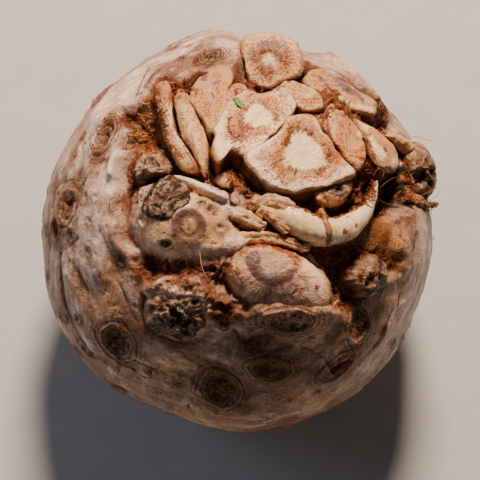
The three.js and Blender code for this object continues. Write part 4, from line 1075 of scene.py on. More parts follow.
def from_rings(name, points, material, channels):
    """Closes rings of points whose first and last have shrunk to a point, facing outwards."""
    rings, sides = points.shape[:2]
    keep = slice(1, rings - 1)

    def joined(values):
        flat = values[keep].reshape(-1, *values.shape[2:])
        return np.concatenate([values[0, :1], flat, values[-1, :1]])

    ring = 1 + np.arange(rings - 3)[:, None] * sides
    here, next_ = np.arange(sides), (np.arange(sides) + 1) % sides
    quads = np.stack([ring + here, ring + sides + here, ring + sides + next_, ring + next_], -1)
    quads = quads.reshape(-1, 4)
    last = 1 + (rings - 3) * sides
    first_fan = np.stack([np.zeros(sides, int), 1 + here, 1 + next_], -1)
    last_fan = np.stack([last + here, np.full(sides, last + sides), last + next_], -1)
    channels = {key: joined(np.broadcast_to(value, points.shape[:2] + np.shape(value)[2:]))
                for key, value in channels.items()}
    vertices = joined(points)
    faces = [quads, first_fan, last_fan]
    # The signed volume tells which way the faces point.
    a, b, c = (vertices[quads[:, i]] - vertices.mean(0) for i in (0, 1, 2))
    if (a * np.cross(b, c)).sum() < 0:
        faces = [face[:, ::-1] for face in faces]
    made = part_of_root(mesh_object(name, standing(vertices), faces, material, channels))
    made["celeriac_piece"] = True
    return made


def make_pieces(table, maker, seed, usual):
    """Makes each piece of a table, with seeds ten apart, in its own finish or the usual one."""
    for number, (name, spec) in enumerate(table.items()):
        points, channels = maker(spec, seed + 10 * number)
        from_rings(name, points, finish(spec.get("finish", usual)), channels)


# ---- materials ----


def add(tree, kind, sockets=None, **settings):
    """Adds a shader node, sets its properties, and sets or links its inputs."""
    node = tree.nodes.new("ShaderNode" + kind)
    for key, value in settings.items():
        setattr(node, key, value)
    for key, value in (sockets or {}).items():
        if isinstance(value, bpy.types.NodeSocket):
            tree.links.new(value, node.inputs[key])
        else:
            node.inputs[key].default_value = value
    return node


# Patterns that the finishes share: real size in mm, whether it follows Object or the flow round the root
# end, and the noise texture's settings. Specks are pores of 0.2 mm, drawn at 0.6 mm so that they show.
PATTERNS = {
    "patches": (12, "Object", dict(Detail=3, Roughness=0.55, Distortion=0.4)),
    "blotches": (4.6, "Object", dict(Detail=5, Roughness=0.6, Distortion=0.6)),
    "flecks": (1.7, "Object", dict(Detail=3, Roughness=0.6, Distortion=0.3)),
    "grain": (0.75, "Object", dict(Detail=2, Roughness=0.6, Distortion=0)),
    "specks": (0.6, "Object", dict(Detail=1, Roughness=0.5, Distortion=0.8)),
    "fuzz": (1.4, "Object", dict(Detail=3, Roughness=0.65, Distortion=2.2)),
    "wisps": (2.4, "flow", dict(Detail=4, Roughness=0.58, Distortion=0.6)),
    "bands": (6.5, "flow", dict(Detail=3, Roughness=0.55, Distortion=0.4)),
}
# Round spots, as the distance to the nearest of a scatter of points: mm from one to the next.
SPOTS = {"dots": 0.8, "pores": 2.3}


def layered(name, base, layers, bumps, rough, finish):
    """A principled material whose colour is laid on in layers.

    Each layer is (colour, terms, low, high, most): its share is most * smoothstep(low, high, sum of
    weight * source). A source is a pattern above, the cut's streaks, the rings round a scar, or an
    attribute of the mesh. bumps is the relief in mm, by source, and is flattened where the mesh is waxy.
    rough is (terms, low, high, smoothest, roughest), and finish holds the shader's own settings.
    """
    material = bpy.data.materials.new(name)
    material.use_nodes = True
    tree = material.node_tree
    tree.nodes.clear()
    sources = {}

    def output(kind, sockets=None, socket=0, **settings):
        return add(tree, kind, sockets, **settings).outputs[socket]

    def attribute(key, socket):
        return output("Attribute", {}, socket, attribute_name=key)

    def maths(operation, *values):
        return output("Math", dict(enumerate(values)), operation=operation)

    def mapped(value, low, high, start, end, **settings):
        sockets = {"Value": value, "From Min": low, "From Max": high, "To Min": start, "To Max": end}
        return output("MapRange", sockets, **settings)

    place = output("TexCoord", {}, "Object")

    def source(key):
        if key in sources:
            return sources[key]
        if key in PATTERNS:
            size, follows, settings = PATTERNS[key]
            where, scale = place, 1 / (size * MM)
            if follows == "flow":
                where, scale = attribute("flow", "Vector"), 1 / size
            sources[key] = output("TexNoise", {"Vector": where, "Scale": scale, **settings}, "Fac")
        elif key in SPOTS:
            sockets = {"Vector": place, "Scale": 1 / (SPOTS[key] * MM), "Randomness": 1}
            sources[key] = output("TexVoronoi", sockets, "Distance")
        elif key == "streaks":
            # The cut's own coordinates: mm round the core, and mm out from it, drawn out eight times.
            sockets = {0: attribute("rays", "Vector"), 1: (1, 1, 0.12)}
            drawn = output("VectorMath", sockets, operation="MULTIPLY")
            sockets = {"Vector": drawn, "Scale": 2.1, "Detail": 1, "Roughness": 0.5}
            sources[key] = output("TexNoise", sockets, "Fac")
        elif key == "rings":
            # Brown rings round a scar: the crests of cos(2 pi (r - 1.25) / 0.27), from r = 0.92 and fading
            # out by r = 2.2, with r in radii of the scar and bent by half of the fuzz.
            apart = source("scar_r")
            bent = maths("MULTIPLY_ADD", source("fuzz"), 0.5, apart)
            wave = maths("COSINE", maths("MULTIPLY_ADD", bent, 23.3, -29.1))
            sources[key] = source("scar_mark")
            for limits in ((wave, 0.2, 1, 0, 1), (apart, 1, 2.2, 1, 0), (apart, 0.8, 0.92, 0, 1)):
                sources[key] = maths("MULTIPLY", sources[key], mapped(*limits))
        else:
            sources[key] = attribute(key, "Fac")
        return sources[key]

    def weighed(terms):
        total = 0
        for key, weight in terms.items():
            total = maths("MULTIPLY_ADD", source(key), weight, total)
        return total

    colour = tinted(base)
    for tint, terms, low, high, most in layers:
        share = mapped(weighed(terms), low, high, 0, most, interpolation_type="SMOOTHSTEP")
        colour = output("Mix", {0: share, 6: colour, 7: tinted(tint)}, 2, data_type="RGBA")
    terms, low, high, smoothest, roughest = rough
    roughness = mapped(weighed(terms), low, high, smoothest, roughest)
    strength = mapped(source("waxy"), 0, 1, 1, 0.35)
    normal = output("Bump", {"Strength": strength, "Distance": MM, "Height": weighed(bumps)})
    sockets = {"Base Color": colour, "Roughness": roughness, "Normal": normal, **finish}
    add(tree, "OutputMaterial", {"Surface": output("BsdfPrincipled", sockets)})
    return material


# Rootlet skin of celeriac: a thin waxy cork, cream where it is washed clean, mottled tan and lilac, with
# brown rings round the scars, fine brown specks, and rust-coloured soil held in every crease, where painted
# shade darkens it further.
SKIN_LAYERS = [
    ("#74574F", dict(bands=1, patches=0.6, pale=-0.25), 0.76, 1, 0.5),
    ("clean_skin", dict(wisps=0.6, blotches=0.45, flecks=0.15, crest=0.1, pale=0.4), 0.47, 0.8, 0.9),
    ("#D2A47B", dict(cream=0.9, wisps=0.9, blotches=0.7), 1, 1.75, 0.9),
    ("#835734", dict(blotches=0.6, flecks=0.4, wisps=0.3, crest=-0.1, dirt=0.3, collar=0.15, pale=-0.25),
     0.67, 0.9, 0.6),
    ("#6A3A1A", dict(specks=1, wisps=0.5, flecks=0.3, crest=-0.1, pale=-0.1, dirt=0.2), 0.98, 1.1, 0.7),
    ("#F0E0D8", dict(specks=-0.3, wisps=1, flecks=0.4, crest=0.1, pale=0.2, dirt=-0.4), 0.65, 0.83, 0.66),
    ("#5E3013", dict(flecks=0.9, wisps=0.6, crest=-0.12, dirt=0.3, rust=0.2, pale=-0.15), 0.9, 1.04, 0.8),
    ("#9F7854", dict(cork=1, fuzz=0.5, specks=0.5), 0.85, 1.15, 0.92),
    ("#6E3B16", dict(cork=0.6, fuzz=1.3, specks=1), 1.58, 1.82, 0.9),
    ("#4A2109", dict(rings=1, ring=1, flecks=0.7), 0.6, 1.05, 0.95),
    ("#6E2E06", dict(rust=1, fuzz=1.2, specks=1), 1.72, 2.1, 0.9),
]
# Soil and painted shade: the soil colour where a piece lies below its neighbours, deepened to near black as
# painted shade in the matted creases and the dark holes; between them the fibre mat's own browns.
SOIL_AND_SHADE_LAYERS = [
    ("soil", dict(dirt=1, blotches=0.9, flecks=0.5, cork=-0.5), 1, 1.45, 0.85),
    ("#5E2C0C", dict(matting=1, fuzz=0.7, blotches=0.4), 1, 1.4, 0.95),
    ("#A46C3C", dict(matting=0.7, fuzz=1.4, specks=0.6, dirt=-0.5), 1.66, 1.9, 0.85),
    ("#2A1106", dict(matting=0.6, dirt=0.7, fuzz=-1.5), 0.14, 0.55, 0.92),
    ("#140904", dict(dirt=0.8, dark=0.9, blotches=0.5, flecks=0.5, cork=-0.4), 1.2, 1.65, 0.97),
]
SCAR_LAYERS = [
    ("#5C3A20", dict(pit=1, blotches=0.6), 0.75, 1.15, 0.95),
    ("#170D07", dict(pit=0.8, fuzz=-1.5, blotches=0.4), 0.2, 0.55, 0.95),
    ("#A8845F", dict(pit=0.5, fuzz=1.6, specks=0.8), 1.7, 1.95, 0.85),
    ("#5F423C", dict(mauve=1, grain=0.3, blotches=0.3), 0.6, 1.35, 0.85),
]

# The trimmed crown under the root: pale pith with tan leaf traces, browned at its edge.
CROWN_LAYERS = [
    ("#E2CDA9", dict(trimmed=1), 0.3, 0.7, 1),
    ("#B98B58", dict(trimmed=0.6, blotches=0.9, grain=0.3), 1.15, 1.35, 0.8),
    ("#8D5A30", dict(trimmed=0.6, pores=-1), 0.3, 0.45, 0.85),
    ("#6B3F1E", dict(trim_edge=1, flecks=0.6), 0.7, 1.2, 0.9),
]


def skin_material():
    """Washed celeriac skin: a satin, faintly translucent wax over cork, matt where soil and cork show."""
    return layered(
        "washed_celeriac_skin",
        "skin",
        SKIN_LAYERS + SOIL_AND_SHADE_LAYERS + SCAR_LAYERS + CROWN_LAYERS,
        dict(blotches=0.4, flecks=0.32, grain=0.12, specks=0.07, wisps=0.32, rings=-0.3, pores=-0.1),
        (dict(blotches=1, dirt=0.5, matting=0.6, cork=0.5), 0.3, 1, 0.3, 0.8),
        {"IOR": 1.42, "Subsurface Weight": 0.05, "Subsurface Radius": (0.004, 0.002, 0.001),
         "Subsurface Scale": 1},
    )


def flesh_material():
    """Cut celeriac root: moist flesh with a soft gloss, browned by air, with a pale core in a ring of brown
    strands, rust-orange vessels and lilac bruises.
    """
    flesh = [
        ("flesh", dict(cut=1), 0.2, 0.6, 1),
        ("#F3D9BC", dict(cut=0.4, outer=0.45, blotches=0.7, flecks=0.3, pale=0.45, specks=0.3),
         1.1, 1.6, 0.95),
        ("#A26C43", dict(cut=0.5, patches=0.9, flecks=0.5, specks=0.3, pale=-0.5), 1.25, 1.5, 0.7),
        ("#8A5228", dict(cut=0.3, fuzz=1, blotches=0.8, specks=0.4, core=-0.5), 1.46, 1.64, 0.7),
        ("#A06C3C", dict(strand=1, specks=0.4, flecks=0.3), 0.6, 1.35, 0.62),
        ("core", dict(core=1, streaks=0.7), 0.5, 1.25, 1),
        ("#5E3216", dict(strand=1, streaks=1.9), 1.4, 1.75, 0.92),
        ("#D2B2A8", dict(mauve=1, blotches=0.4, specks=0.3, core=-0.55), 0.6, 1.3, 0.78),
        ("bruise", dict(mauve=1, streaks=1, specks=0.4), 1.15, 1.85, 0.88),
        ("vessels", dict(dotted=0.5, dots=-1, flecks=0.15), 0.05, 0.11, 0.97),
        ("#DDB48C", dict(peeled=1, blotches=0.6), 0.7, 1.25, 0.92),
        ("#F4E4BE", dict(peeled=0.5, waxy=0.6, blotches=0.5, pale=0.3), 1, 1.35, 0.9),
        ("#B07A4C", dict(peeled=0.4, blotches=0.9, flecks=0.5, specks=0.4, waxy=-0.12), 1, 1.5, 0.8),
        ("#74431F", dict(peeled=0.3, specks=1, flecks=0.7, waxy=-0.3, cut=-0.1), 1.12, 1.25, 0.8),
        ("#85501F", dict(rim=1, blotches=0.9), 0.85, 1.3, 0.9),
        # Soil and painted shade down the sides of the stubs and pods and under the creeping roots.
        ("#62391A", dict(below=1, flecks=0.6, blotches=0.4, waxy=-0.4), 0.7, 1.25, 0.92),
        ("#7A340A", dict(rust=1, streaks=1, fuzz=0.8, specks=0.7), 1.6, 2.1, 0.9),
    ]
    return layered(
        "cut_celeriac_flesh",
        "#AD8058",
        SKIN_LAYERS[3:5] + SKIN_LAYERS[6:7] + flesh + SOIL_AND_SHADE_LAYERS,
        dict(streaks=0.15, flecks=0.35, grain=0.25, specks=0.16, blotches=0.25),
        (dict(cut=-0.5, waxy=-0.6, blotches=0.6, dirt=0.5), -0.3, 0.7, 0.26, 0.65),
        {"IOR": 1.4, "Subsurface Weight": 0.08, "Subsurface Radius": (0.005, 0.003, 0.0015),
         "Subsurface Scale": 1},
    )


def scab_material():
    """Woody scab: dry broken cork, grey on its crests, brown in its cracks and nearly black in its pits."""
    return layered(
        "woody_root_scab",
        "scab",
        [
            ("#BFA08F", dict(blotches=0.9, crest=0.2, mauve=0.2, pale=0.3), 0.46, 0.72, 0.85),
            ("#6A5040", dict(woody=1, blotches=0.5), 0.85, 1.3, 0.92),
            ("#A98F79", dict(woody=0.6, crest=0.45, grain=0.5, fuzz=0.4), 1.06, 1.34, 0.85),
            ("#7A441B", dict(flecks=1, blotches=0.5, crest=-0.2), 0.78, 1, 0.8),
            ("#7B3406", dict(rust=1, fuzz=1.2, specks=1), 1.72, 2.1, 0.85),
            ("#301A0D", dict(crest=-0.6, flecks=1, crater=0.5, woody=0.13), 0.65, 1, 0.94),
            ("#160D07", dict(crater=1, fuzz=-1.3, flecks=0.4, dark=0.4), 0.2, 0.75, 0.93),
            ("#B5A087", dict(crater=0.2, specks=1.4, fuzz=0.9, crest=0.2), 1.4, 1.62, 0.8),
            # Soil and painted shade down the sides of the knobs.
            ("#5E3110", dict(below=1, flecks=0.6, woody=0.2), 0.7, 1.2, 0.9),
        ] + SOIL_AND_SHADE_LAYERS,
        dict(blotches=0.3, flecks=0.9, grain=0.4, specks=0.25, fuzz=0.6),
        (dict(flecks=1), 0.3, 0.7, 0.4, 0.85),
        {"IOR": 1.45},
    )


def fibre_material():
    """Root hair: dry brown bast, from straw to dark umber from hair to hair."""
    return layered(
        "dry_root_fibre",
        "fibre",
        [
            ("#A05C2E", dict(shade=1), 0.45, 0.62, 0.9),
            ("#CBA67A", dict(shade=1), 0.82, 0.9, 0.95),
            ("#351808", dict(shade=-1), -0.22, -0.12, 0.9),
        ],
        dict(grain=0.05),
        (dict(grain=1), 0.3, 0.7, 0.5, 0.75),
        {"IOR": 1.45},
    )


def leaf_material():
    """A torn fleck of fresh leaf: bright green with darker folds."""
    return layered(
        "fresh_leaf_fleck",
        "leaf",
        [("#7FB27A", dict(grain=1), 0.5, 0.62, 0.7), ("#255A30", dict(flecks=1), 0.52, 0.66, 0.7)],
        dict(grain=0.2),
        (dict(grain=1), 0.3, 0.7, 0.4, 0.6),
        {"IOR": 1.42},
    )


def paper_material():
    """Seamless studio paper: matt, pale, with the faintest unevenness."""
    return layered(
        "studio_paper",
        "paper",
        [("#B7BEC7", dict(patches=1), 0.3, 0.7, 1)],
        dict(flecks=0.01),
        (dict(patches=1), 0.3, 0.7, 0.8, 0.9),
        {"IOR": 1.4},
    )


FINISHES = {
    "skin": ("washed_celeriac_skin", skin_material),
    "flesh": ("cut_celeriac_flesh", flesh_material),
    "scab": ("woody_root_scab", scab_material),
    "fibre": ("dry_root_fibre", fibre_material),
    "leaf": ("fresh_leaf_fleck", leaf_material),
    "paper": ("studio_paper", paper_material),
}


def finish(key):
    """Each finish is made once and shared."""
    name, maker = FINISHES[key]
    return bpy.data.materials.get(name) or maker()


# ---- soil and painted shade in the creases, and fibres ----

# The root end's heights and channels are also read from a grid of cells over its face plane: the size of a
# cell, how far the grid reaches from the middle each way, and the values that mark a cell as empty.
STEP = 0.4
REACH = 66.0
CELLS = int(2 * REACH / STEP) + 1
NO_HEIGHT, NO_VALUE = -99.0, -1.0
AHEAD = 5.0  # only what lies this far in front of the body's middle counts
SIDES = ((1, 0), (-1, 0), (0, 1), (0, -1))
CORNERS = ((1, 1), (-1, -1), (1, -1), (-1, 1))


def face_places(made):
    """A piece's points from the middle of the plain body, in mm."""
    co = np.empty(len(made.data.vertices) * 3, np.float32)
    made.data.vertices.foreach_get("co", co)
    return co.reshape(-1, 3).astype(float) / MM - body_middle()


def height_over_plain(points):
    """How far points stand over the plain body along W."""
    plain, _ = plain_front(points @ U, points @ V)
    return points @ W - plain @ W


def cells_at(u, v):
    """The cells of the face plane that hold places."""
    return tuple(np.clip(((np.stack([u, v]) + REACH) / STEP).round().astype(int), 0, CELLS - 1))


def cells_of(points):
    return cells_at(points @ U, points @ V)


def spread(grid, empty, ways):
    """Fills empty cells, those below a value, from the highest cell beside them, up to three cells deep."""
    for _ in range(3):
        beside = np.max([np.roll(grid, way, (0, 1)) for way in ways], axis=0)
        grid = np.where(grid < empty, beside, grid)
    return grid


def blurred(grid, size):
    """A Gaussian blur with a deviation of size mm, as a product of spectra."""
    waves = np.fft.fftfreq(CELLS, STEP)[:, None], np.fft.rfftfreq(CELLS, STEP)[None]
    share = np.exp(-2 * (math.pi * size) ** 2 * (waves[0] ** 2 + waves[1] ** 2))
    return np.fft.irfft2(np.fft.rfft2(grid) * share, s=grid.shape)


def root_end_heights(pieces):
    """The highest surface over each cell of the face plane, as height over the plain body."""
    grid = np.full((CELLS, CELLS), NO_HEIGHT)
    for made in pieces:
        points = face_places(made)
        points = points[points @ W > AHEAD]
        np.maximum.at(grid, cells_of(points), height_over_plain(points))
    grid = spread(grid, NO_HEIGHT + 9, SIDES + CORNERS)
    return np.where(grid < NO_HEIGHT + 9, 0, grid)


def painted(pieces, channel):
    """A channel of the topmost piece over each cell of the face plane, with gaps filled from beside them."""
    best = np.full((CELLS, CELLS), NO_HEIGHT)
    grid = np.full((CELLS, CELLS), NO_VALUE)
    for made in pieces:
        points = face_places(made)
        values = np.zeros(len(points), np.float32)
        if channel in made.data.attributes:
            made.data.attributes[channel].data.foreach_get("value", values)
        ahead = points @ W > AHEAD
        points, values = points[ahead], values[ahead]
        cells, height = cells_of(points), height_over_plain(points)
        order = np.argsort(height)
        cells, height, values = tuple(c[order] for c in cells), height[order], values[order]
        higher = height > best[cells]
        cells, height, values = tuple(c[higher] for c in cells), height[higher], values[higher]
        best[cells] = height
        grid[cells] = values
    return np.maximum(spread(grid, 0, SIDES), 0)


def root_pieces():
    """The solid pieces made so far, without fibres."""
    return [made for made in bpy.context.scene.objects if "celeriac_piece" in made.keys()]


class CELERIAC_OT_body(bpy.types.Operator):
    """The swollen body with its scars, folds, collars and the hollow root end"""

    bl_idname = "celeriac.body"
    bl_label = "Swollen body"

    def execute(self, context):
        ball, quads = body_points(context.scene.celeriac_sizes.body_cells, CLOSE_UP)
        axes = half_axes()
        place, normal = ball * axes, unit(ball / axes)
        out, channels = body_relief(place, normal)
        place = place + out[:, None] * normal
        height = place[:, 2] + body_middle()[2]
        channels.update(trimmed=smooth((0.25 - height) / 0.5), trim_edge=bell(height, 1.1))
        made = mesh_object("celeriac_body", standing(place), [quads], finish("skin"), channels)
        part_of_root(made)["celeriac_piece"] = True
        return {"FINISHED"}


class CELERIAC_OT_cut_roots(bpy.types.Operator):
    """The roots that were cut off short, with the pattern of their flesh"""

    bl_idname = "celeriac.cut_roots"
    bl_label = "Cut roots"

    def execute(self, context):
        make_pieces(CUT_ROOTS, cut_root, 0, "flesh")
        return {"FINISHED"}


class CELERIAC_OT_pods(bpy.types.Operator):
    """The two long peeled pods and the round pebble between the roots"""

    bl_idname = "celeriac.pods"
    bl_label = "Peeled pods"

    def execute(self, context):
        make_pieces(PODS, pod, 200, "flesh")
        return {"FINISHED"}


class CELERIAC_OT_knobs(bpy.types.Operator):
    """The woody knobs and scabs"""

    bl_idname = "celeriac.knobs"
    bl_label = "Woody knobs"

    def execute(self, context):
        make_pieces(KNOBS, knob, 300, "scab")
        return {"FINISHED"}


class CELERIAC_OT_runners(bpy.types.Operator):
    """The curled and creeping roots"""

    bl_idname = "celeriac.runners"
    bl_label = "Creeping roots"

    def execute(self, context):
        make_pieces(RUNNERS, creeping_root, 400, "flesh")
        return {"FINISHED"}


class CELERIAC_OT_crease_shade_and_soil(bpy.types.Operator):
    """Soil and painted shade in the creases: a piece is darkened where it lies below the blurred height of
    the root end
    """

    bl_idname = "celeriac.soil"
    bl_label = "Soil in the creases"

    def execute(self, context):
        pieces = root_pieces()
        grid = root_end_heights(pieces)
        close, wide = blurred(grid, 1.3), blurred(grid, 4.0)
        for made in pieces:
            points = face_places(made)
            cells = cells_of(points)
            height = height_over_plain(points)
            _, normal = plain_front(points @ U, points @ V)
            shown = smooth((normal @ W - 0.3) / 0.2) * smooth((points @ W - 4) / 8)
            # Painted shade with soil: the deeper a point lies under the blurred heights round it, the darker
            # it is drawn.
            dirt = 0.75 * smooth((close[cells] - height - 0.1) / 1.6)
            dirt += 0.5 * smooth((wide[cells] - height - 1) / 4)
            data = made.data.attributes.new("dirt", "FLOAT", "POINT").data
            data.foreach_set("value", (np.clip(dirt, 0, 1.25) * shown).astype(np.float32))
        return {"FINISHED"}


def tubes(name, paths, radii, shades, sides=3):
    """Thin tubes along many paths of equal length at once; both ends shrink to a point."""
    count, steps = paths.shape[:2]
    tangent = unit(np.gradient(paths, axis=1))
    side = unit(np.cross(tangent, W + 0.13 * U))
    up = np.cross(side, tangent)
    taper = np.minimum(1, np.minimum(np.arange(steps), steps - 1 - np.arange(steps)) / 1.5)
    round_ = np.arange(sides) / sides * 2 * math.pi
    ring = np.cos(round_)[:, None] * side[:, :, None] + np.sin(round_)[:, None] * up[:, :, None]
    thick = (radii[:, None] * np.maximum(taper, 0.02))[:, :, None, None]
    points = (paths[:, :, None] + thick * ring).reshape(-1, 3)
    start = (np.arange(count)[:, None] * steps + np.arange(steps - 1))[:, :, None] * sides
    here, next_ = np.arange(sides), (np.arange(sides) + 1) % sides
    quads = np.stack([start + here, start + next_, start + sides + next_, start + sides + here], -1)
    first = np.arange(count)[:, None] * steps * sides
    caps = np.concatenate([first + np.arange(sides)[::-1], first + (steps - 1) * sides + np.arange(sides)])
    faces = [quads.reshape(-1, 4), caps]
    shade = np.repeat(shades, steps * sides)
    part_of_root(mesh_object(name, standing(points), faces, finish("fibre"), {"shade": shade}))


HAIR_STEPS, CURL_STEPS, LOOSE_STEPS, ROOTLET_STEPS = 8, 7, 24, 10


class CELERIAC_OT_fibres(bpy.types.Operator):
    """Root hairs, matted in the creases, curled in the scars, a few long loose ones, and broken rootlets"""

    bl_idname = "celeriac.fibres"
    bl_label = "Root hairs"

    def execute(self, context):
        sizes = context.scene.celeriac_sizes
        radius = sizes.fibre_radius / MM
        rng = np.random.default_rng(23)
        path, radii, shades = self.matted(rng, sizes.fibre_count, radius)
        brown = shades < 0.6
        tubes("brown_root_fibres", path[brown], radii[brown], shades[brown])
        tubes("straw_root_fibres", path[~brown], radii[~brown], shades[~brown])
        curls, shades = self.curled(rng)
        tubes("scar_fibres", curls, np.full(len(curls), 1.1 * radius), shades)
        count = len(LOOSE_HAIRS)
        paths = np.array([curve_through(self.lifted(hair), np.linspace(0, len(hair) - 1.001, LOOSE_STEPS))
                          for hair in LOOSE_HAIRS])
        tubes("loose_root_hairs", paths, np.full(count, 1.0 * radius), np.linspace(0.5, 0.95, count), 5)
        paths, radii = self.rootlets(rng)
        tubes("flank_rootlets", paths, radii, rng.uniform(0.1, 0.8, len(paths)), 7)
        return {"FINISHED"}

    @staticmethod
    def matted(rng, count, radius):
        """Hairs that start where the root end is matted, most of them in its hollows, and wander over it.

        A hair bows up from the blurred surface as lift sin(pi t), and is left out where it strays from the
        mat for most of its way.
        """
        pieces = root_pieces()
        grid = root_end_heights(pieces)
        matted = painted(pieces, "matting")
        draped = blurred(grid, 0.5)
        depth = np.clip(blurred(grid, 3.0) - grid, 0, 3)
        spots = np.arange(CELLS) * STEP - REACH
        weight = blurred(matted * (0.35 + depth), 0.5).clip(0) ** 1.3
        cell = rng.choice(weight.size, size=count, p=(weight / weight.sum()).ravel())
        u, v = spots[cell // CELLS], spots[cell % CELLS]
        u, v = u + rng.uniform(-STEP, STEP, count), v + rng.uniform(-STEP, STEP, count)
        heading = rng.uniform(0, 2 * math.pi, count)
        bend = rng.normal(0, 0.3, count)
        stride = rng.uniform(0.3, 0.85, count)
        lift = rng.uniform(0.1, 0.9, count)
        path = np.empty((count, HAIR_STEPS, 3))
        held = np.zeros(count)
        for step in range(HAIR_STEPS):
            heading = heading + bend + rng.normal(0, 0.25, count)
            u, v = u + stride * np.cos(heading), v + stride * np.sin(heading)
            cells = cells_at(u, v)
            plain, _ = plain_front(u, v)
            rise = draped[cells] + lift * math.sin(math.pi * (step + 0.4) / (HAIR_STEPS - 0.2)) - 0.1
            held += matted[cells] / HAIR_STEPS
            path[:, step] = plain + rise[:, None] * W
        radii = rng.uniform(0.55, 1.3, count) * radius
        shades = rng.uniform(0, 0.97, count)
        keep = held > 0.34
        return path[keep], radii[keep], shades[keep]

    @staticmethod
    def curled(rng):
        """Hairs that curl inside the larger and darker scars, and rise from their floor as sin(pi t)."""
        curls, shades = [], []
        for point, facing, along, across, _, depth, dark in scar_places():
            if min(along, across) < 2.2 or dark < 0.55:
                continue
            number = int(along * across * 0.5)
            right = unit(np.cross(facing, V))
            up = np.cross(facing, right)
            spread, angle = np.sqrt(rng.uniform(0, 0.6, number)), rng.uniform(0, 2 * math.pi, number)
            x, y = spread * np.cos(angle) * across, spread * np.sin(angle) * along
            heading, bend = rng.uniform(0, 2 * math.pi, number), rng.normal(0, 0.45, number)
            reach = rng.uniform(0.18, 0.42, number)
            curl = np.empty((number, CURL_STEPS, 3))
            for step in range(CURL_STEPS):
                heading = heading + bend
                x, y = x + reach * np.cos(heading), y + reach * np.sin(heading)
                bow = 0.9 * math.sin(math.pi * step / (CURL_STEPS - 1))
                rise = -0.9 * depth + 0.4 + bow * rng.uniform(0.3, 1, number)
                curl[:, step] = point + x[:, None] * right + y[:, None] * up + rise[:, None] * facing
            curls.append(curl)
            shades.append(rng.uniform(0.3, 0.86, number))
        return np.concatenate(curls), np.concatenate(shades)

    @staticmethod
    def lifted(hair):
        """A loose hair's points: over (u, v) on the plain body, and lifted between its normal and W."""
        hair = np.array(hair, float)
        plain, normal = plain_front(hair[:, 0], hair[:, 1])
        return plain + hair[:, 2:] * unit(normal + 0.5 * W)

    @staticmethod
    def rootlets(rng):
        """Rootlets on the flanks and the back: each leaves the skin and bends over towards the floor.

        At a share t of its way a rootlet stands t (1 - 0.55 t) of its reach out of the skin and has gone
        t^2 of its length along it, on a way that leads down, with a small sideways wave. The first third
        are thick stubs, the rest are hairs.
        """
        axes = half_axes()
        place = unit(rng.normal(size=(400, 3)))
        normal = unit(place / axes)
        behind = (normal @ W < 0.05) & (place[:, 2] > -0.7)
        place, normal = place[behind][:FLANK_ROOTLETS], normal[behind][:FLANK_ROOTLETS]
        count = len(place)
        stub = np.arange(count) < count // 3
        length = np.where(stub, rng.uniform(1.6, 3.4, count), rng.uniform(3, 9, count))
        radii = np.where(stub, rng.uniform(0.4, 0.75, count), rng.uniform(0.09, 0.2, count))
        along = unit(unit(np.cross(normal, rng.normal(size=(count, 3)))) + np.array([0, 0, -0.6]))
        across = np.cross(normal, along)[:, None]
        share = np.linspace(0, 1, ROOTLET_STEPS)[None, :, None]
        length, stub = length[:, None, None], stub[:, None, None]
        root = 1.2  # how deep it starts under the skin
        start = (place * axes)[:, None] - root * normal[:, None]
        out = (root + 0.5 * length) * share * (1 - 0.55 * share) * normal[:, None]
        side = length * share**2 * along[:, None]
        wave = 0.12 * length * np.sin(5 * share + 6 * stub) * across
        return start + out + side + wave * share, radii


class CELERIAC_OT_leaf(bpy.types.Operator):
    """A small torn fleck of green leaf, stuck to the left cut root"""

    bl_idname = "celeriac.leaf"
    bl_label = "Leaf fleck"

    def execute(self, context):
        turn = np.linspace(0, 2 * math.pi, 40, endpoint=False)
        rings = np.array([0, 0.25, 0.5, 0.75, 1, 1, 0.75, 0.5, 0.25, 0])[:, None]
        under = np.array([0, 0, 0, 0, 0, 1, 1, 1, 1, 1])[:, None]
        outline = 1 + 0.18 * np.cos(2 * turn) + 0.12 * np.cos(5 * turn + 1) + 0.07 * np.cos(9 * turn)
        along = LEAF_SIZE[0] * rings * outline * np.cos(turn)
        across = LEAF_SIZE[1] * rings * outline * np.sin(turn)
        u = LEAF_PLACE[0] + along * math.cos(LEAF_TURN) - across * math.sin(LEAF_TURN)
        v = LEAF_PLACE[1] + along * math.sin(LEAF_TURN) + across * math.cos(LEAF_TURN)
        grid = root_end_heights(root_pieces())
        base, _ = plain_front(u, v)
        height = np.median(grid[cells_of(base.reshape(-1, 3))])
        fold = 0.3 + 0.3 * np.sin(2.2 * along) * np.cos(1.6 * across) + 0.3 * rings**2
        points = base + (height + fold - 0.2 * under)[..., None] * W
        from_rings("green_leaf_fleck", points, finish("leaf"), {})
        return {"FINISHED"}


# ---- studio ----

CAMERA_DISTANCE = 750.0
CAMERA_ELEVATION = math.radians(68)
LENS = 171.6
SENSOR = 36.0
AIM = (0.98, -2.62)  # from the body's middle, along U and V
FLOOR_REACH = 3.0  # metres each way

# Lights: their place in metres, the setting of their power, the diameter of the disk, and the colour.
LIGHTS = {
    "key_light": ((0.08, 0.76, 0.92), "key_power", 0.3, "#FFDDBD"),
    "fill_light": ((0.5, -0.9, 0.8), "fill_power", 1.0, "#FFE9D6"),
    "side_light": ((-1.0, 0.25, 0.5), "side_power", 0.6, "#ECEFFF"),
}
LIT_PLACE = (0, 0, 0.05)


def aimed(made, target):
    """Turns a camera or light to look at a place."""
    direction = Vector(target) - made.location
    made.rotation_euler = direction.to_track_quat("-Z", "Y").to_euler()


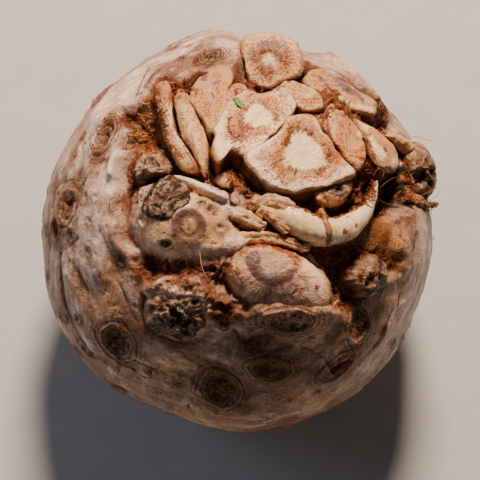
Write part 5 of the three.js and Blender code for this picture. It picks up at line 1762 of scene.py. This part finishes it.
class CELERIAC_OT_stage(bpy.types.Operator):
    """A pale floor, soft studio lights and the camera"""

    bl_idname = "celeriac.stage"
    bl_label = "Studio"

    def execute(self, context):
        studio = context.scene.celeriac_studio
        aim = body_middle() + AIM[0] * U + AIM[1] * V
        back = np.array([0, -math.cos(CAMERA_ELEVATION), math.sin(CAMERA_ELEVATION)])
        data = bpy.data.cameras.new("camera")
        data.lens = LENS
        data.sensor_width = SENSOR
        data.clip_end = 20.0
        camera = bpy.data.objects.new("camera", data)
        camera.location = (aim + CAMERA_DISTANCE * back) * MM
        context.collection.objects.link(camera)
        aimed(camera, aim * MM)
        context.scene.camera = camera

        corners = FLOOR_REACH * np.array([(-1, -1, 0), (1, -1, 0), (1, 1, 0), (-1, 1, 0)])
        floor = mesh_object("studio_floor", corners, [np.array([[0, 1, 2, 3]])], finish("paper"))

        for name, (place, power, size, tint) in LIGHTS.items():
            lamp = bpy.data.lights.new(name, "AREA")
            lamp.shape = "DISK"
            lamp.size = size
            lamp.energy = getattr(studio, power)
            lamp.color = linear(tint)[:3]
            made = bpy.data.objects.new(name, lamp)
            made.location = place
            context.collection.objects.link(made)
            aimed(made, LIT_PLACE)

        world = bpy.data.worlds.new("studio_air")
        world.use_nodes = True
        air = world.node_tree.nodes["Background"]
        air.inputs["Color"].default_value = linear("#F4F0EC")
        air.inputs["Strength"].default_value = studio.air
        context.scene.world = world
        return {"FINISHED"}


# ---- settings and panel ----


def setting(name, description, value, unit="LENGTH"):
    """A setting that holds a number, by default a length in metres."""
    return FloatProperty(name=name, description=description, default=value, unit=unit)


def whole_setting(name, description, value, most):
    """A setting that holds a whole number."""
    return IntProperty(name=name, description=description, default=value, min=1, max=most)


def colour_setting(name, description, colour):
    """A setting that holds a colour, with a hex value as its default."""
    return FloatVectorProperty(
        name=name, description=description, default=linear(colour)[:3], subtype="COLOR", min=0, max=1)


class CeleriacSizes(bpy.types.PropertyGroup):
    """Sizes of the root"""

    half_width: setting("Half width", "Half of the body along X", 0.064)
    half_depth: setting("Half depth", "Half of the body along Y", 0.0655)
    half_height: setting("Half height", "Half of the body along Z, before its crown is cut", 0.053)
    centre_height: setting("Centre height", "Height of the body's middle over the floor", 0.049)
    body_cells: whole_setting("Body cells", "Cells along each edge of the body's cube", 127, 127)
    fibre_count: whole_setting("Fibres", "Number of matted root hairs", 9000, 20000)
    fibre_radius: setting("Fibre radius", "Mean radius of a root hair", 0.0001)


class CeleriacColours(bpy.types.PropertyGroup):
    """Main colours of the root and the studio, under their mottling"""

    skin: colour_setting("Skin", "Skin where it is bare and brown", "#8A6750")
    clean_skin: colour_setting("Clean skin", "Skin where it is washed pale", "#CAAFA1")
    # The soil colour, laid on as soil and painted shade in the creases and gaps.
    soil: colour_setting("Soil", "Soil in the creases", "#6F340C")
    flesh: colour_setting("Flesh", "Cut flesh", "#BE9060")
    core: colour_setting("Core", "Pale core of a cut", "#F7DCB0")
    vessels: colour_setting("Vessels", "Rusty dots of a cut", "#A04A02")
    bruise: colour_setting("Bruise", "Bruised flesh", "#54393A")
    scab: colour_setting("Scab", "Woody knobs and scabs", "#7E5A44")
    fibre: colour_setting("Fibre", "Root hairs", "#78360F")
    leaf: colour_setting("Leaf", "Leaf fleck", "#3F7D45")
    paper: colour_setting("Paper", "Floor of the studio", "#BCC2CB")


class CeleriacStudio(bpy.types.PropertyGroup):
    """Light in the studio"""

    key_power: setting("Key", "Power of the light behind the root", 35, "POWER")
    fill_power: setting("Fill", "Power of the light in front", 0.8, "POWER")
    side_power: setting("Side", "Power of the cool light on the left", 2.4, "POWER")
    air: setting("Air", "Strength of the light from all round", 0.04, "NONE")


class CELERIAC_PT_panel(bpy.types.Panel):
    """Lists the pieces and their settings"""

    bl_label = "Celeriac"
    bl_idname = "CELERIAC_PT_panel"
    bl_space_type = "VIEW_3D"
    bl_region_type = "UI"
    bl_category = "Celeriac"

    def draw(self, context):
        scene = context.scene
        for group in (scene.celeriac_sizes, scene.celeriac_colours, scene.celeriac_studio):
            for key in group.__annotations__:
                self.layout.prop(group, key)
        for operator in OPERATORS:
            self.layout.operator(operator.bl_idname)


OPERATORS = (CELERIAC_OT_stage, CELERIAC_OT_body, CELERIAC_OT_cut_roots, CELERIAC_OT_pods, CELERIAC_OT_knobs,
             CELERIAC_OT_runners, CELERIAC_OT_crease_shade_and_soil, CELERIAC_OT_fibres, CELERIAC_OT_leaf)
CLASSES = (CeleriacSizes, CeleriacColours, CeleriacStudio, *OPERATORS, CELERIAC_PT_panel)


def register():
    for cls in CLASSES:
        bpy.utils.register_class(cls)
    bpy.types.Scene.celeriac_sizes = PointerProperty(type=CeleriacSizes)
    bpy.types.Scene.celeriac_colours = PointerProperty(type=CeleriacColours)
    bpy.types.Scene.celeriac_studio = PointerProperty(type=CeleriacStudio)


def unregister():
    del bpy.types.Scene.celeriac_studio
    del bpy.types.Scene.celeriac_colours
    del bpy.types.Scene.celeriac_sizes
    for cls in reversed(CLASSES):
        bpy.utils.unregister_class(cls)


def main():
    register()
    bpy.ops.celeriac.stage()
    bpy.ops.celeriac.body()
    bpy.ops.celeriac.cut_roots()
    bpy.ops.celeriac.pods()
    bpy.ops.celeriac.knobs()
    bpy.ops.celeriac.runners()
    bpy.ops.celeriac.soil()
    bpy.ops.celeriac.fibres()
    bpy.ops.celeriac.leaf()


if __name__ == "__main__":
    main()
